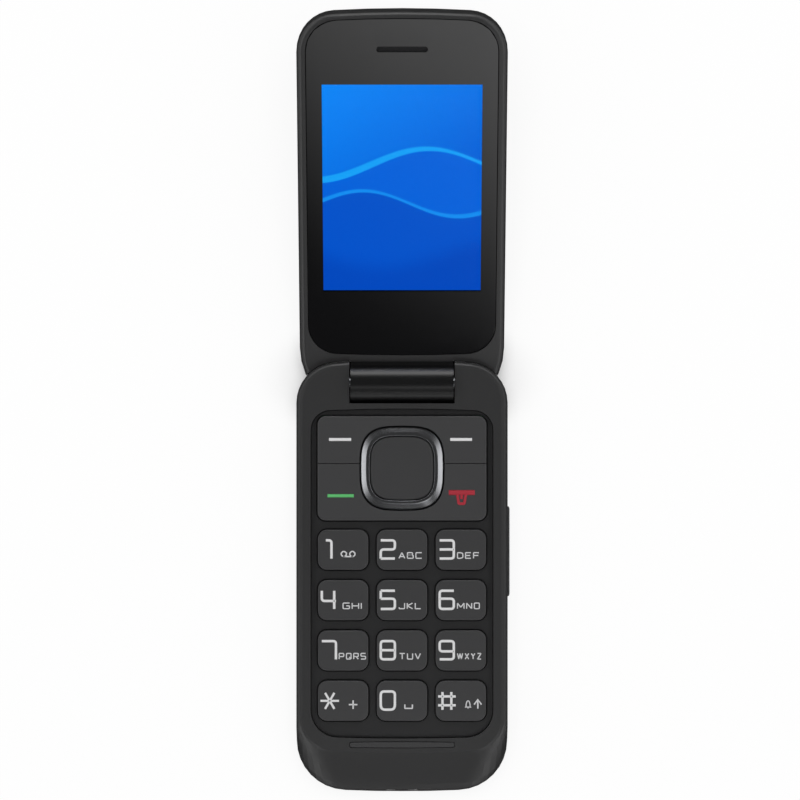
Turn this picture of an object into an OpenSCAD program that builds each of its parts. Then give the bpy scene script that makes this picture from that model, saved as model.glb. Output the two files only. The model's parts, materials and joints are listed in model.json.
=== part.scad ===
// Flip phone, open. Millimetres, +Z up.
// The base lies on its flat back with the keys facing +Z and the hinge towards +Y.
// The origin is the centre of the flat back. The lid is modelled closed, in axes that start at the
// hinge pin, and lid_place() swings it to where it stands open.

/* [Base] */
// Width of the base
base_w = 49.6; // [47:0.2:52]
// Length of the base, chin to shoulders
base_l = 102.2; // [99:0.4:105]
// Thickness of the base
base_t = 11; // [11:0.1:12]
// Wall of the housings
wall = 1.5; // [1.2:0.1:1.7]
// Height of the seam between the front and rear housing
seam_z = 5.5; // [5.3:0.1:5.7]
// Radius of the outline's corners at the chin
chin_r = 12; // [10:0.5:14]
// Radius of the outline's corners at the shoulders
shoulder_r = 9.5; // [8:0.5:11]
// Length of the slope at the chin
chin_slope = 9.7; // [7:0.1:10]
// Rounding of the front edges
edge_r = 1.5; // [1:0.1:1.8]
// Rounding of the back edges
back_r = 3; // [2:0.25:3.25]

/* [Hinge] */
// Distance from the hinge axis to the end of the shoulders
axis_in = 5.8; // [5.7:0.05:5.85]
// Depth of the hinge axis under the base's face
axis_down = 2.2; // [2:0.05:2.3]
// Angle between the base and the lid when it is open
open_deg = 161.5; // [150:0.5:165]
// Length of the hinge barrel
barrel_l = 24.1; // [23:0.1:26]
// Radius of the hinge barrel
barrel_r = 4.5; // [4.3:0.05:4.6]
// Radius of the hinge shaft and pin
shaft_r = 1.5; // [1.2:0.05:1.6]
// Gap between the barrel and its pocket
barrel_gap = 0.3; // [0.25:0.05:0.35]

/* [Lid] */
// How much narrower the lid is than the base, on each side
lid_side = 0.7; // [0.5:0.1:1.3]
// Distance from the hinge axis to the free end of the lid
lid_reach = 87.3; // [86.6:0.1:88.5]
// Thickness of the lid
lid_t = 7.2; // [7:0.1:7.6]
// Gap between the closed lid and the base
lid_gap = 0.3; // [0.3:0.05:0.5]
// Gap between the base's end and the lid's end that closes round it
lid_end_gap = 0.2; // [0.15:0.05:0.3]
// Radius of the outline's corners at the free end
lid_far_r = 9; // [8:0.5:10]
// Radius of the long curve that takes the lid's sides in towards the hinge
lid_near_r = 17.5; // [16:0.5:20]

/* [Screen] */
// Width of the picture on the screen
view_w = 36.7; // [35:0.1:37.5]
// Height of the picture on the screen
view_h = 49; // [47:0.1:50]
// Distance from the lid's free end to the picture
view_in = 16.7; // [16.2:0.1:17.4]
// Margin between the lens and the lid's free end
lens_margin = 1.5; // [1.4:0.1:2]
// Margin between the lens and the lid's sides
lens_side = 2.15; // [2:0.05:2.4]
// Thickness of the lens
lens_t = 1; // [0.8:0.1:1.1]
// Length of the earpiece slot
ear_l = 11.6; // [9:0.1:14]
// Width of the earpiece slot
ear_w = 1.1; // [0.8:0.1:1.5]
// Distance from the lid's free end to the earpiece slot
ear_in = 8.6; // [8.2:0.1:9]

/* [Keypad] */
// Distance from the base's side to the keypad opening
pad_side = 3.4; // [3.3:0.05:3.6]
// Distance from the hinge axis to the near end of the keypad opening
pad_near = 6; // [5.95:0.05:6.2]
// Distance from the hinge axis to the far end of the keypad opening
pad_far = 83.3; // [82.6:0.1:83.5]
// Space between neighbouring number keys, across the phone
key_space = 1.9; // [1.6:0.1:2.6]
// Height of a number key, along the phone
key_h = 9.5; // [9:0.1:9.8]
// Distance between the rows of keys
key_dy = 11.8; // [11.4:0.05:11.9]
// Distance from the hinge axis to the first row of number keys
key_first = 39.1; // [39:0.05:39.5]
// Radius of a number key's corners
key_r = 2.2; // [1.5:0.1:3]
// Travel of a key
key_travel = 0.3; // [0.2:0.05:0.3]
// Gap round each key
key_gap = 0.2; // [0.15:0.05:0.25]
// Margin between the function plate and the sides of the keypad opening
plate_side = 1.55; // [1.4:0.05:2.2]
// Height of the plate with the function keys
plate_h = 24.6; // [24:0.1:25]
// Distance from the hinge axis to the middle of the navigation ring
ring_at = 20; // [19.8:0.05:20.2]
// Outside size of the navigation ring
ring_d = 19.6; // [18:0.1:20.5]
// Size of the OK key
ok_d = 14.9; // [13:0.1:15.5]
// Depth of the sunken keypad floor under the base's face
floor_down = 1; // [0.8:0.05:1.1]

/* [Battery] */
// Distance from the base's side to the battery pack
batt_side = 7.8; // [7.6:0.2:9.6]
// Length of the battery pack
batt_l = 51; // [46:0.5:51]
// Thickness of the battery pack
batt_t = 4; // [3.6:0.1:4.1]
// How far the cover's tongues reach under the fixed part of the back
tongue_l = 2.4; // [1.6:0.1:2.6]
// Thickness of the battery cover's panel
cover_t = 1.1; // [0.9:0.05:1.2]

/* [Side] */
// Length of the volume key
vol_l = 21.3; // [18:0.1:24]
// Distance from the hinge axis to the middle of the volume key
vol_at = 39.6; // [38:0.1:42]
// How far the volume key stands out
vol_out = 0.5; // [0.3:0.05:0.8]
// Distance from the hinge axis to the headset jack
jack_at = 18.9; // [18.5:0.05:19.2]
// Radius of the headset jack's bore
jack_r = 1.8; // [1.7:0.05:1.9]
// Radius of a screw's shank
screw_r = 0.7; // [0.6:0.05:0.8]

/* [Hidden] */

function key_names() = ["1", "2", "3", "4", "5", "6", "7", "8", "9", "star", "0", "hash"];

fit = 0.1;              // gap between pieces that drop in beside each other
run = 0.05;             // radial gap of a turning fit
eps = 0.01;
seam = 0.1;             // visible seam between two housings

top_y = base_l / 2;
axis_y = top_y - axis_in;
axis_z = base_t - axis_down;
half_w = base_w / 2;
wall_in = half_w - wall;
end_R = 130;            // gentle curve of the shoulders' end
chin_R = 300;           // gentle curve of the chin's end
segs = 8;               // facets of a quarter turn

// base: heights of the stacked pieces
floor_z = base_t - floor_down;
frame_t = 1.4;
flange_t = 0.6;
frame_z = floor_z - frame_t;
ceiling_z = frame_z + flange_t + fit;
key_top = base_t - 0.1;
key_foot_t = 0.3;
key_z = frame_z - fit - key_foot_t;
mat_t = 0.45;
mat_z = key_z - key_travel - run - mat_t;
dome_t = 0.18;
dome_z = mat_z - dome_t - 0.02;
board_t = 0.8;
board_z = dome_z - board_t - 0.02;

cover_top = cover_t + 1.9;
cover_rim = 2.4;
cover_in = 21.1;        // from the shoulders to where the cover meets the fixed part of the back
cover_end = top_y - cover_in;
tongue_x = half_w - 5.4;
tongue_w = 2.4;
tongue_t = 0.7;
tongue_z = cover_t + 0.25;
tongue_gap = 0.3;
shelf_z = cover_top + seam;
shelf_t = 0.8;
batt_w = base_w - 2 * batt_side;
batt_z = cover_t + 0.25;
batt_in = 12.3;         // from the chin to the battery
batt_y = -top_y + batt_in + batt_l / 2;
batt_ceiling = batt_z + batt_t + fit;
batt_wall = 0.8;
batt_end = batt_y + batt_l / 2;

pad_w = base_w - 2 * pad_side;
pad_r = 4.7;
pad_low_r = 6.4;
pad_mid = axis_y - (pad_near + pad_far) / 2;
pad_l = pad_far - pad_near;
flange_w = 0.45;
cavity_end = axis_y - pad_near + flange_w + fit;
ring_y = axis_y - ring_at;
ring_power = 3.2;
ring_slope = 2.6;       // how far the ring's sloping face draws in
ok_power = 3.4;
plate_w = pad_w - 2 * plate_side;
plate_r = 2;
bar_split = ring_y + 1.1;
bar_seam = 0.14;        // seam between the soft key bar and the call key bar
key_dx = (plate_w + key_space - 0.2) / 3;
key_w = key_dx - key_space;
key_rim = 0.3;
key_foot = 0.45;

pocket_r = barrel_r + barrel_gap;
pocket_w = barrel_l + 2 * barrel_gap;
pocket_floor = axis_z - barrel_r - 0.8;
shaft_in = 5.6;         // how far the shafts reach into a shoulder

bumper_l = 24.5;
bumper_h = 1.4;
bumper_t = 0.8;
bumper_up = 0.15;
bumper_in = 11.65;      // from the chin to the bumper strip
bumper_y = -top_y + bumper_in;

side_board_x = wall_in - 2.4;
side_board_t = 0.4;
vol_y = axis_y - vol_at;
vol_t = 2.3;
vol_z = 7.2;
jack_y = axis_y - jack_at;
jack_z = 5.05;
jack_w = 5;
jack_h = 3.9;
jack_l = 10.5;

boss_r = 1.9;
head_r = 1.25;
head_t = 0.8;
screw_l = 4.4;
// base screws, on one side: place, then the height that the head seats at
chin_screw = [half_w - 5.5, -top_y + 9.5, shelf_z];
shoulder_screw = [half_w - 4.8, axis_y - 2.6, 2.2];
usb_w = 7.6;
usb_h = 2.6;
usb_l = 7.2;
usb_legs = 0.65;        // the socket hangs this far under the board
usb_z = board_z - usb_legs - usb_h / 2;

// parts on and under the board
under_z = shelf_z + shelf_t;
can_w = 3.4;
can_l = 16;
can_x = wall_in - 2.9;
can_y = batt_y - can_l / 2 - 0.7;
speaker_x = -10;
speaker_in = 10.2;      // from the hinge axis to the loudspeaker
speaker_y = axis_y - speaker_in;
speaker_w = 14;
speaker_l = 7.4;
speaker_z = 1.45;
slot_dx = 2.6;          // spacing of the sound slots
motor_x = -11.2;
motor_y = -top_y + 8.8;
motor_r = 1.9;
motor_l = 9;
contact_w = 8;
card_y = batt_end + 3.8;
card_l = 12.6;
card_wall = 0.5;
sim_x = -18;
sim_w = 16;
sim_t = 0.8;
memory_x = -0.5;
memory_w = 11.3;

// lid: heights over the hinge axis when the lid is closed
lid_w = base_w - 2 * lid_side;
lens_w = lid_w - 2 * lens_side;
view_at = lid_reach - view_in - view_h / 2;
ear_at = lid_reach - ear_in;
lid_under = -10;        // where the lid's outline would end, if the base didn't cut it off
lens_near = 6.1;
lid_n = axis_down + lid_gap;
lid_top = lid_n + lid_t;
lid_seam = lid_n + 3.1;
lens_down = 0.25;
lens_n = lid_n + lens_down;
bed_n = lens_n + lens_t + 0.05;
bed_t = 0.7;
lcd_n = bed_n + bed_t + 0.05;
lcd_t = 1.5;
guide_t = 0.7;
lid_wall = 1.2;
lid_head_t = 0.45;
lens_far_r = 7.2;
lid_far_R = 280;        // gentle curve of the free end
lens_far_R = 300;
lens_near_r = 7;
lcd_w = view_w + 4.3;
lcd_l = view_h + 6;
neck_n = lid_n + 4.5;
neck_end = 8;
cam_x = 12.5;
cam_at = ear_at;
cam_w = 7.5;
window_r = 3.2;
module_r = 3.1;
module_l = 9;
magnet_l = 4;
pin_in = 5.4;           // how far the hinge pin reaches into the barrel
flex_end = barrel_l / 2 - pin_in - 1.65;
lid_screw_x = lens_w / 2 - 3.25;
lid_screw_at = [9, lid_reach - 6.6];

// ---- outlines and lofts -------------------------------------------------------------------------

// Half an outline's end: a corner arc of radius r that runs into an end curve of radius R.
// a is the half width and y the place of the end's crown.
function end_points(a, y, r, R) =
    let (cy = y - R + sqrt(pow(R - r, 2) - pow(a - r, 2)),
         turn = atan2(cy - (y - R), a - r))
    concat(
        [for (i = [0 : segs]) let (t = turn * i / segs) [a - r + r * cos(t), cy + r * sin(t)]],
        [for (i = [1 : segs / 2 - 1])
            let (t = turn + (180 - 2 * turn) * i / (segs / 2)) [R * cos(t), y - R + R * sin(t)]],
        [for (i = [segs : -1 : 0])
            let (t = turn * i / segs) [-(a - r + r * cos(t)), cy + r * sin(t)]]);

// A closed outline with its two ends at y_top and y_low
function outline(a, y_top, y_low, r_top, r_low, R_top = end_R, R_low = end_R) =
    concat(end_points(a, y_top, r_top, R_top),
           [for (p = end_points(a, -y_low, r_low, R_low)) [-p[0], -p[1]]]);

// A rounded rectangle round its own middle
function rounded(w, h, r, n = 6) =
    [for (k = [0 : 3]) for (i = [0 : n])
        let (t = 90 * k + 90 * i / n, sx = (k == 0 || k == 3) ? 1 : -1, sy = k < 2 ? 1 : -1)
        [sx * (w / 2 - r) + r * cos(t), sy * (h / 2 - r) + r * sin(t)]];

// A squircle: a square whose sides bow out
function squircle(d, power, n = 40) =
    [for (i = [0 : n - 1]) let (t = 360 * i / n, c = cos(t), s = sin(t))
        d / 2 * [sign(c) * pow(abs(c), 2 / power), sign(s) * pow(abs(s), 2 / power)]];

function lift(points, z) = [for (p = points) [p[0], p[1], z]];

// Joins rings of equally many points into one closed solid
module loft(rings) {
    n = len(rings[0]);
    m = len(rings);
    points = [for (ring = rings) each ring];
    sides = [for (j = [0 : m - 2]) for (i = [0 : n - 1])
        let (k = (i + 1) % n) each [[j * n + i, (j + 1) * n + i, (j + 1) * n + k],
                                    [j * n + i, (j + 1) * n + k, j * n + k]]];
    floor_face = [[for (i = [0 : n - 1]) i]];
    top_face = [[for (i = [n - 1 : -1 : 0]) (m - 1) * n + i]];
    polyhedron(points, concat(floor_face, sides, top_face), convexity = 4);
}

module slab(points, z0, z1) {
    translate([0, 0, z0]) linear_extrude(z1 - z0) polygon(points);
}

// A box from one corner to another
module span(low, high) {
    translate(low) cube([high[0] - low[0], high[1] - low[1], high[2] - low[2]]);
}

module rod_x(r, x0, x1) {
    translate([x0, 0, 0]) rotate([0, 90, 0]) cylinder(r = r, h = x1 - x0, $fn = 48);
}

module at_axis() {
    translate([0, axis_y, axis_z]) children();
}

module lid_place() {
    at_axis() rotate([-open_deg, 0, 0]) children();
}

// ---- base shells --------------------------------------------------------------------------------

// How far the chin has drawn back at a height above the seam, from 0 at its foot to the whole slope
function chin_in(z) =
    let (t = min(1, max(0, (z - seam_z) / (base_t - seam_z))))
    chin_slope * (t < 0.2 ? 0.35 * pow(t / 0.2, 2) * 0.2 : 0.07 + 0.93 * pow((t - 0.2) / 0.8, 1.15));

// How far the side has drawn in at a height, by the rounding of the front edge
function edge_in(z) =
    let (d = max(0, z - (base_t - edge_r))) edge_r - sqrt(max(0, edge_r * edge_r - d * d));

// The base's outline at a height, drawn in by the thickness of a wall
function base_ring(z, draw = 0) =
    let (e = edge_in(z) + draw, t = (z - seam_z) / (base_t - seam_z), c = max(chin_in(z), edge_in(z)))
    outline(half_w - e, top_y - e, -top_y + c + draw, shoulder_r - min(e, 3),
            chin_r - 4 * max(0, t) - min(draw, 3), end_R, chin_R);

front_levels = [seam_z, 5.9, 6.2, 6.6, 7.4, 8.2, 9, base_t - edge_r, base_t - 0.7 * edge_r,
                base_t - 0.45 * edge_r, base_t - 0.25 * edge_r, base_t - 0.1 * edge_r, base_t];

// The back's outline at a height, with the rounding of its lower edge
function back_ring(z) =
    let (d = max(0, back_r - z), e = back_r - sqrt(back_r * back_r - d * d))
    outline(half_w - e, top_y - e, -top_y + e, shoulder_r - e, chin_r - e, end_R, chin_R);

back_levels = concat([for (i = [0 : 5]) back_r * (1 - cos(15 * i))], [back_r, seam_z]);

module back_shell() {
    loft([for (z = back_levels) lift(back_ring(z), z)]);
}

module pad_outline(grow, z0, z1) {
    translate([0, pad_mid, 0])
        slab(outline(pad_w / 2 + grow, pad_l / 2 + grow, -pad_l / 2 - grow, pad_r + grow,
                     pad_low_r + grow, 400, 500), z0, z1);
}

// Room for the hinge barrel and the lid's neck, open to the back
module hinge_pocket() {
    at_axis() {
        rod_x(pocket_r, -pocket_w / 2, pocket_w / 2);
        translate([-pocket_w / 2, 0, pocket_floor - axis_z])
            cube([pocket_w, base_l, base_t]);
        translate([-pocket_w / 2, -pocket_r, 0])
            cube([pocket_w, pocket_r + eps, base_t]);
    }
}

module shaft_bores() {
    at_axis() for (side = [-1, 1])
        rod_x(shaft_r + 0.02, side > 0 ? pocket_w / 2 - eps : -pocket_w / 2 - shaft_in,
              side > 0 ? pocket_w / 2 + shaft_in : -pocket_w / 2 + eps);
}

// Puts its child at each screw's place, with the head's seat at height 0
module at_screws(list = [chin_screw, shoulder_screw]) {
    for (side = [-1, 1]) for (screw = list)
        translate([side * screw[0], screw[1], screw[2]]) children();
}

module jack_hole() {
    translate([0, jack_y, jack_z]) rod_x(jack_r, wall_in - eps, half_w + 1);
}

module usb_hole() {
    translate([0, -top_y - 1, usb_z])
        rotate([-90, 0, 0]) linear_extrude(1 + wall + eps)
            polygon(rounded(usb_w + 2 * fit, usb_h + 2 * fit, 0.6, 4));
    span([-usb_w / 2 - fit, -top_y + 0.4, usb_z - usb_h / 2 - fit],
         [usb_w / 2 + fit, -top_y + usb_l + 0.7, board_z]);
}

module base_front_housing() color("#2e2e2e") {
    difference() {
        loft([for (z = front_levels) lift(base_ring(z), z)]);
        intersection() {
            loft([for (z = [seam_z - 1, 6.2, 7, 7.8, ceiling_z]) lift(base_ring(z + 1.2, wall), z)]);
            span([-base_w, -base_l, 0], [base_w, cavity_end, ceiling_z]);
        }
        pad_outline(0, ceiling_z - eps, base_t + 1);
        pad_outline(flange_w + fit, seam_z, ceiling_z);
        hinge_pocket();
        shaft_bores();
        span([wall_in - 1, vol_y - vol_l / 2 - fit, vol_z - vol_t / 2 - fit],
             [half_w + 1, vol_y + vol_l / 2 + fit, vol_z + vol_t / 2 + fit]);
        jack_hole();
        usb_hole();
        bumper(fit, -bumper_t);
        at_screws([shoulder_screw]) cylinder(r = screw_r + 0.03, h = screw_l + 0.2, $fn = 32);
    }
    difference() {
        at_screws([chin_screw]) translate([0, 0, shelf_t])
            cylinder(r = boss_r, h = ceiling_z - under_z, $fn = 32);
        at_screws([chin_screw]) cylinder(r = screw_r + 0.03, h = screw_l + 0.2, $fn = 32);
    }
}

module base_rear_housing() color("#2a2a2a") {
    top = seam_z - seam;
    bay = [batt_w / 2 + fit, batt_l / 2 + fit];
    difference() {
        union() {
            difference() {
                back_shell();
                span([-base_w, -base_l, -1], [base_w, cover_end, shelf_z]);
                span([-base_w, -base_l, top], [base_w, base_l, base_t]);
                // hollow above the shelf, and the deeper one behind the cover's end
                intersection() {
                    slab([for (p = base_ring(seam_z, wall)) p], under_z, base_t);
                    span([-base_w, -base_l, 0], [base_w, cavity_end, base_t]);
                }
                intersection() {
                    slab([for (p = base_ring(seam_z, 2.4)) p], 1.2, base_t);
                    span([-base_w, cover_end + 1.2, 0], [base_w, cavity_end, base_t]);
                }
            }
            translate([0, batt_y, 0])
                span([-bay[0] - batt_wall, -bay[1] - batt_wall, shelf_z],
                     [bay[0] + batt_wall, bay[1] + batt_wall, batt_ceiling + 0.5]);
        }
        // battery bay, then the opening over the card holders
        translate([0, batt_y, 0]) span([-bay[0], -bay[1], 0], [bay[0], bay[1], batt_ceiling]);
        span([sim_x - 1, card_y - 0.4, 0], [memory_x + memory_w + 0.2, cover_end - 0.6, base_t]);
        span([-contact_w / 2 - 0.6, batt_end, 0], [contact_w / 2 + 0.6, batt_end + 3.1, base_t]);
        at_screws() cylinder(r = screw_r + 0.1, h = seam_z, $fn = 32);
        at_screws() translate([0, 0, -seam_z]) cylinder(r = head_r + 0.15, h = seam_z, $fn = 32);
        hinge_pocket();
        jack_hole();
        span([wall_in - jack_l - fit, jack_y - jack_w / 2 - fit, 0],
             [wall_in + 0.05, jack_y + jack_w / 2 + fit, base_t]);
        usb_hole();
        // slots for the cover's two tongues
        for (side = [-1, 1])
            span([side * tongue_x - tongue_w / 2 - tongue_gap, cover_end - 1, tongue_z - 0.15],
                 [side * tongue_x + tongue_w / 2 + tongue_gap, cover_end + 1.3, tongue_z + tongue_t + 0.2]);
        // sound slots under the loudspeaker
        for (i = [-2 : 2])
            translate([speaker_x + slot_dx * i, speaker_y, -eps])
                linear_extrude(1.3) polygon(rounded(1.1, 6, 0.5, 4));
    }
}

module battery_cover() color("#262626") {
    difference() {
        back_shell();
        span([-base_w, cover_end - seam, -1], [base_w, base_l, base_t]);
        span([-base_w, -base_l, cover_top], [base_w, base_l, base_t]);
        slab(outline(half_w - cover_rim, base_l, -top_y + cover_rim, shoulder_r, chin_r - cover_rim,
                     end_R, chin_R),
             cover_t, base_t);
    }
    // tongues that slip over the fixed part of the back
    for (side = [-1, 1])
        translate([side * tongue_x - tongue_w / 2, 0, 0]) rotate([90, 0, 90])
            linear_extrude(tongue_w)
                polygon([[cover_end - 4, cover_t - 0.2], [cover_end - 1, cover_t - 0.2],
                         [cover_end - 0.5, tongue_z], [cover_end + tongue_l, tongue_z],
                         [cover_end + tongue_l, tongue_z + tongue_t], [cover_end - 1, tongue_z + tongue_t]]);
}

module battery_pack() color("#8c9196") {
    translate([0, batt_y, 0]) slab(rounded(batt_w, batt_l, 1, 4), batt_z, batt_z + batt_t);
}

module battery_contacts() color("#1b1b1b") {
    span([-contact_w / 2, batt_end + 0.3, batt_z + 0.6], [contact_w / 2, batt_end + 2.8, board_z - 0.05]);
    for (i = [-1 : 1])
        span([0.3 * contact_w * i - 0.4, batt_end + 0.05, batt_z + 1.2],
             [0.3 * contact_w * i + 0.4, batt_end + 0.3, batt_z + 2.6]);
}

// ---- inside the base ----------------------------------------------------------------------------

module main_board() color("#1d5a3a") {
    difference() {
        slab(outline(wall_in - 0.5, cavity_end - 0.4, -top_y + 6.2, 3, 9), board_z, board_z + board_t);
        for (side = [-1, 1])
            translate([side * (chin_screw[0] + 5), chin_screw[1] - 2, board_z - 1])
                slab(rounded(10 + 2 * boss_r + 0.5, 4 + 2 * boss_r + 0.5, boss_r), 0, base_t);
        span([wall_in - jack_l - 0.3, jack_y - jack_w / 2 - 0.3, 0],
             [base_w, jack_y + jack_w / 2 + 0.3, base_t]);
        span([side_board_x - 1, vol_y - vol_l / 2 - 1, 0], [base_w, vol_y + vol_l / 2 + 1, base_t]);
        span([motor_x - motor_l / 2 - 0.4, -base_l, 0],
             [motor_x + motor_l / 2 + 0.4, motor_y + motor_r + 0.3, base_t]);
    }
}

// The two tinned cans over the radio and the processor, on the board's underside
module shield_cans() color("#b7b9bb") {
    for (side = [-1, 1])
        translate([side * can_x, can_y, 0])
            span([-can_w / 2, -can_l / 2, under_z + 0.1], [can_w / 2, can_l / 2, board_z - 0.02]);
}

module dome_sheet() color("#d9d9d4") {
    slab(outline(pad_w / 2 - 0.8, cavity_end - 1.2, axis_y - pad_far + 1, 3, 3), dome_z, dome_z + dome_t);
}

module keypad_mat() color("#1c1c1d") {
    slab(outline(pad_w / 2 - 0.7, cavity_end - 1, axis_y - pad_far + 0.6, 3, 3), mat_z, mat_z + mat_t);
}

module number_window(grow, z0, z1) {
    for (row = [0 : 3]) for (col = [-1 : 1])
        translate([col * key_dx, axis_y - key_first - row * key_dy, 0])
            slab(rounded(key_w + 2 * grow, key_h + 2 * grow, key_r + grow), z0, z1);
}

module keypad_frame() color("#232324") {
    difference() {
        union() {
            pad_outline(-fit, frame_z, floor_z);
            pad_outline(flange_w, frame_z, frame_z + flange_t);
        }
        number_window(key_gap, frame_z - 1, base_t);
        translate([0, ring_y, 0])
            slab(rounded(plate_w + 2 * key_gap, plate_h + 2 * key_gap, plate_r + key_gap),
                 frame_z - 1, base_t);
    }
}

// The strip's shape grown by a gap, reaching down from the base's face
module bumper(grow, from) {
    translate([0, bumper_y, base_t])
        slab(outline(bumper_l / 2 + grow, bumper_h / 2 + grow, -bumper_h / 2 - grow,
                     bumper_h / 3, bumper_h / 3, 600, 600), from, 1);
}

module bumper_strip() color("#3a3a3b") {
    intersection() {
        bumper(-0.02, -bumper_t + 0.02);
        span([-base_w, -base_l, 0], [base_w, base_l, base_t + bumper_up]);
    }
}

// ---- keys ---------------------------------------------------------------------------------------

// A key cap: straight sides, then a bevelled rim
module cap(w, h, r) {
    loft([lift(rounded(w, h, r), key_z), lift(rounded(w, h, r), key_top - key_rim),
          lift(rounded(w - key_rim, h - key_rim, r - key_rim / 2), key_top - key_rim / 3),
          lift(rounded(w - 2.4 * key_rim, h - 2.4 * key_rim, r - key_rim), key_top)]);
}

module number_key(index) color("#3b3b3c") {
    row = floor(index / 3);
    col = index % 3 - 1;
    translate([col * key_dx, axis_y - key_first - row * key_dy, 0]) {
        cap(key_w, key_h, key_r);
        slab(rounded(key_w + 2 * key_foot, key_h + 2 * key_foot, key_r), key_z, key_z + key_foot_t);
    }
}

// Half of the function plate, with the ring's place cut out of it
module function_bar(side) {
    difference() {
        translate([0, ring_y, 0]) cap(plate_w, plate_h, plate_r);
        translate([0, ring_y, 0]) slab(squircle(ring_d + 2 * key_gap, ring_power), 0, base_t + 1);
        translate([-base_w, bar_split + (side > 0 ? -base_l : -bar_seam / 2), 0])
            cube([2 * base_w, side > 0 ? base_l + bar_seam / 2 : base_l, base_t + 1]);
    }
}

module soft_key_bar() color("#3f3f40") function_bar(1);
module call_key_bar() color("#3f3f40") function_bar(-1);

module nav_ring() color("#2b2b2d") {
    translate([0, ring_y, 0]) difference() {
        loft([for (level = [[0, key_z], [0, key_top - 0.75], [0.35, key_top - 0.55],
                            [ring_slope, key_top - 0.1], [ring_slope + 0.6, key_top]])
                  lift(squircle(ring_d - level[0], ring_power), level[1])]);
        slab(squircle(ok_d + 2 * key_gap, ok_power), 0, base_t + 1);
    }
}

module ok_key() color("#3a3a3c") {
    translate([0, ring_y, 0])
        loft([lift(squircle(ok_d, ok_power), key_z), lift(squircle(ok_d, ok_power), key_top - 0.5),
              lift(squircle(ok_d - 0.5, ok_power), key_top - 0.25)]);
}

module volume_key() color("#2c2c2d") {
    foot_x = wall_in - 0.95;
    span([foot_x, vol_y - vol_l / 2, vol_z - vol_t / 2],
         [half_w - 0.1, vol_y + vol_l / 2, vol_z + vol_t / 2]);
    span([foot_x, vol_y - vol_l / 2 - key_foot, vol_z - vol_t / 2],
         [foot_x + key_foot, vol_y + vol_l / 2 + key_foot, vol_z + vol_t / 2]);
    // domed outer face
    translate([0, vol_y, vol_z]) rotate([90, 0, 90])
        loft([lift(rounded(vol_l, vol_t, 0.6, 3), half_w - 0.1),
              lift(rounded(vol_l - 0.2, vol_t - 0.2, 0.6, 3), half_w + vol_out - 0.2),
              lift(rounded(vol_l - 1, vol_t - 0.8, 0.5, 3), half_w + vol_out)]);
}

module side_key_board() color("#a5702d") {
    span([side_board_x, vol_y - vol_l / 2, vol_z - vol_t / 2],
         [side_board_x + side_board_t, vol_y + vol_l / 2, vol_z + vol_t / 2]);
    // one switch under each half of the key
    for (side = [-1, 1])
        span([side_board_x + side_board_t, vol_y + side * vol_l / 4 - 1.5, vol_z - 0.9],
             [side_board_x + side_board_t + 0.6, vol_y + side * vol_l / 4 + 1.5, vol_z + 0.9]);
}

// ---- parts on and under the board ---------------------------------------------------------------

module loudspeaker() color("#4a4a4c") {
    translate([speaker_x, speaker_y, 0]) {
        slab(rounded(speaker_w, speaker_l, 1.5, 4), speaker_z, speaker_z + 2.95);
        slab(rounded(speaker_w - 3, speaker_l - 2.4, 1, 4), speaker_z + 2.95, speaker_z + 3.35);
    }
}

module microphone() color("#c9b26a") {
    translate([usb_w / 2 + 1.2, -top_y + 6.6, board_z - 1.32]) cube([3.4, 2.6, 1.3]);
}

// Motor can, its shaft and the half-round weight
module vibration_motor() color("#9a9a9a") {
    translate([motor_x - motor_l / 2, motor_y, under_z + motor_r + 0.05]) {
        rod_x(motor_r, 0, motor_l - 3.6);
        rod_x(0.4, motor_l - 3.6, motor_l);
        intersection() {
            rod_x(motor_r - 0.2, motor_l - 3, motor_l - 0.3);
            span([0, -motor_r, -0.3], [motor_l, motor_r, motor_r]);
        }
    }
}

module antenna() color("#c58a3a") {
    span([usb_w / 2 + 5.6, -top_y + 4.9, under_z + 0.05],
         [chin_screw[0] - boss_r - 0.5, -top_y + 9.5, board_z - 0.2]);
}

module usb_socket() color("#aeb0b3") {
    translate([0, -top_y + 0.5, usb_z]) rotate([-90, 0, 0]) difference() {
        linear_extrude(usb_l) polygon(rounded(usb_w, usb_h - 0.1, 0.5, 4));
        translate([0, 0, -eps]) linear_extrude(usb_l - 0.6)
            polygon(rounded(usb_w - 0.6, usb_h - 0.7, 0.3, 4));
    }
    span([-2.4, -top_y + 1.1, usb_z - 0.25], [2.4, -top_y + usb_l, usb_z + 0.25]);
    for (side = [-1, 1])
        translate([side * (usb_w / 2 - 0.8), -top_y + usb_l - 1, usb_z + usb_h / 2 - 0.1])
            span([-0.6, -0.5, 0], [0.6, 0.5, usb_legs + 0.08]);
}

module headset_jack() color("#1a1a1a") {
    difference() {
        span([wall_in - jack_l, jack_y - jack_w / 2, jack_z - jack_h / 2],
             [wall_in - 0.02, jack_y + jack_w / 2, jack_z + jack_h / 2]);
        translate([0, jack_y, jack_z]) rod_x(jack_r, wall_in - jack_l + 0.8, wall_in + 1);
    }
}

module sim_holder() color("#c4c6c8") {
    difference() {
        span([sim_x, card_y, board_z - 1.9], [sim_x + sim_w, card_y + card_l, board_z - 0.02]);
        span([sim_x + card_wall, card_y - 1, board_z - 1.6],
             [sim_x + sim_w - card_wall, card_y + card_l - card_wall, board_z - 0.6]);
    }
}

module sim_card() color("#e6e2d6") {
    low = sim_x + card_wall + 0.05;
    high = sim_x + sim_w - card_wall - 0.05;
    end = card_y + card_l - card_wall - 0.05;
    corner = 2.1;
    slab([[low, card_y + 0.1], [high, card_y + 0.1], [high, end], [low + corner, end], [low, end - corner]],
         board_z - 1.55, board_z - 1.55 + sim_t);
}

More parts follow.
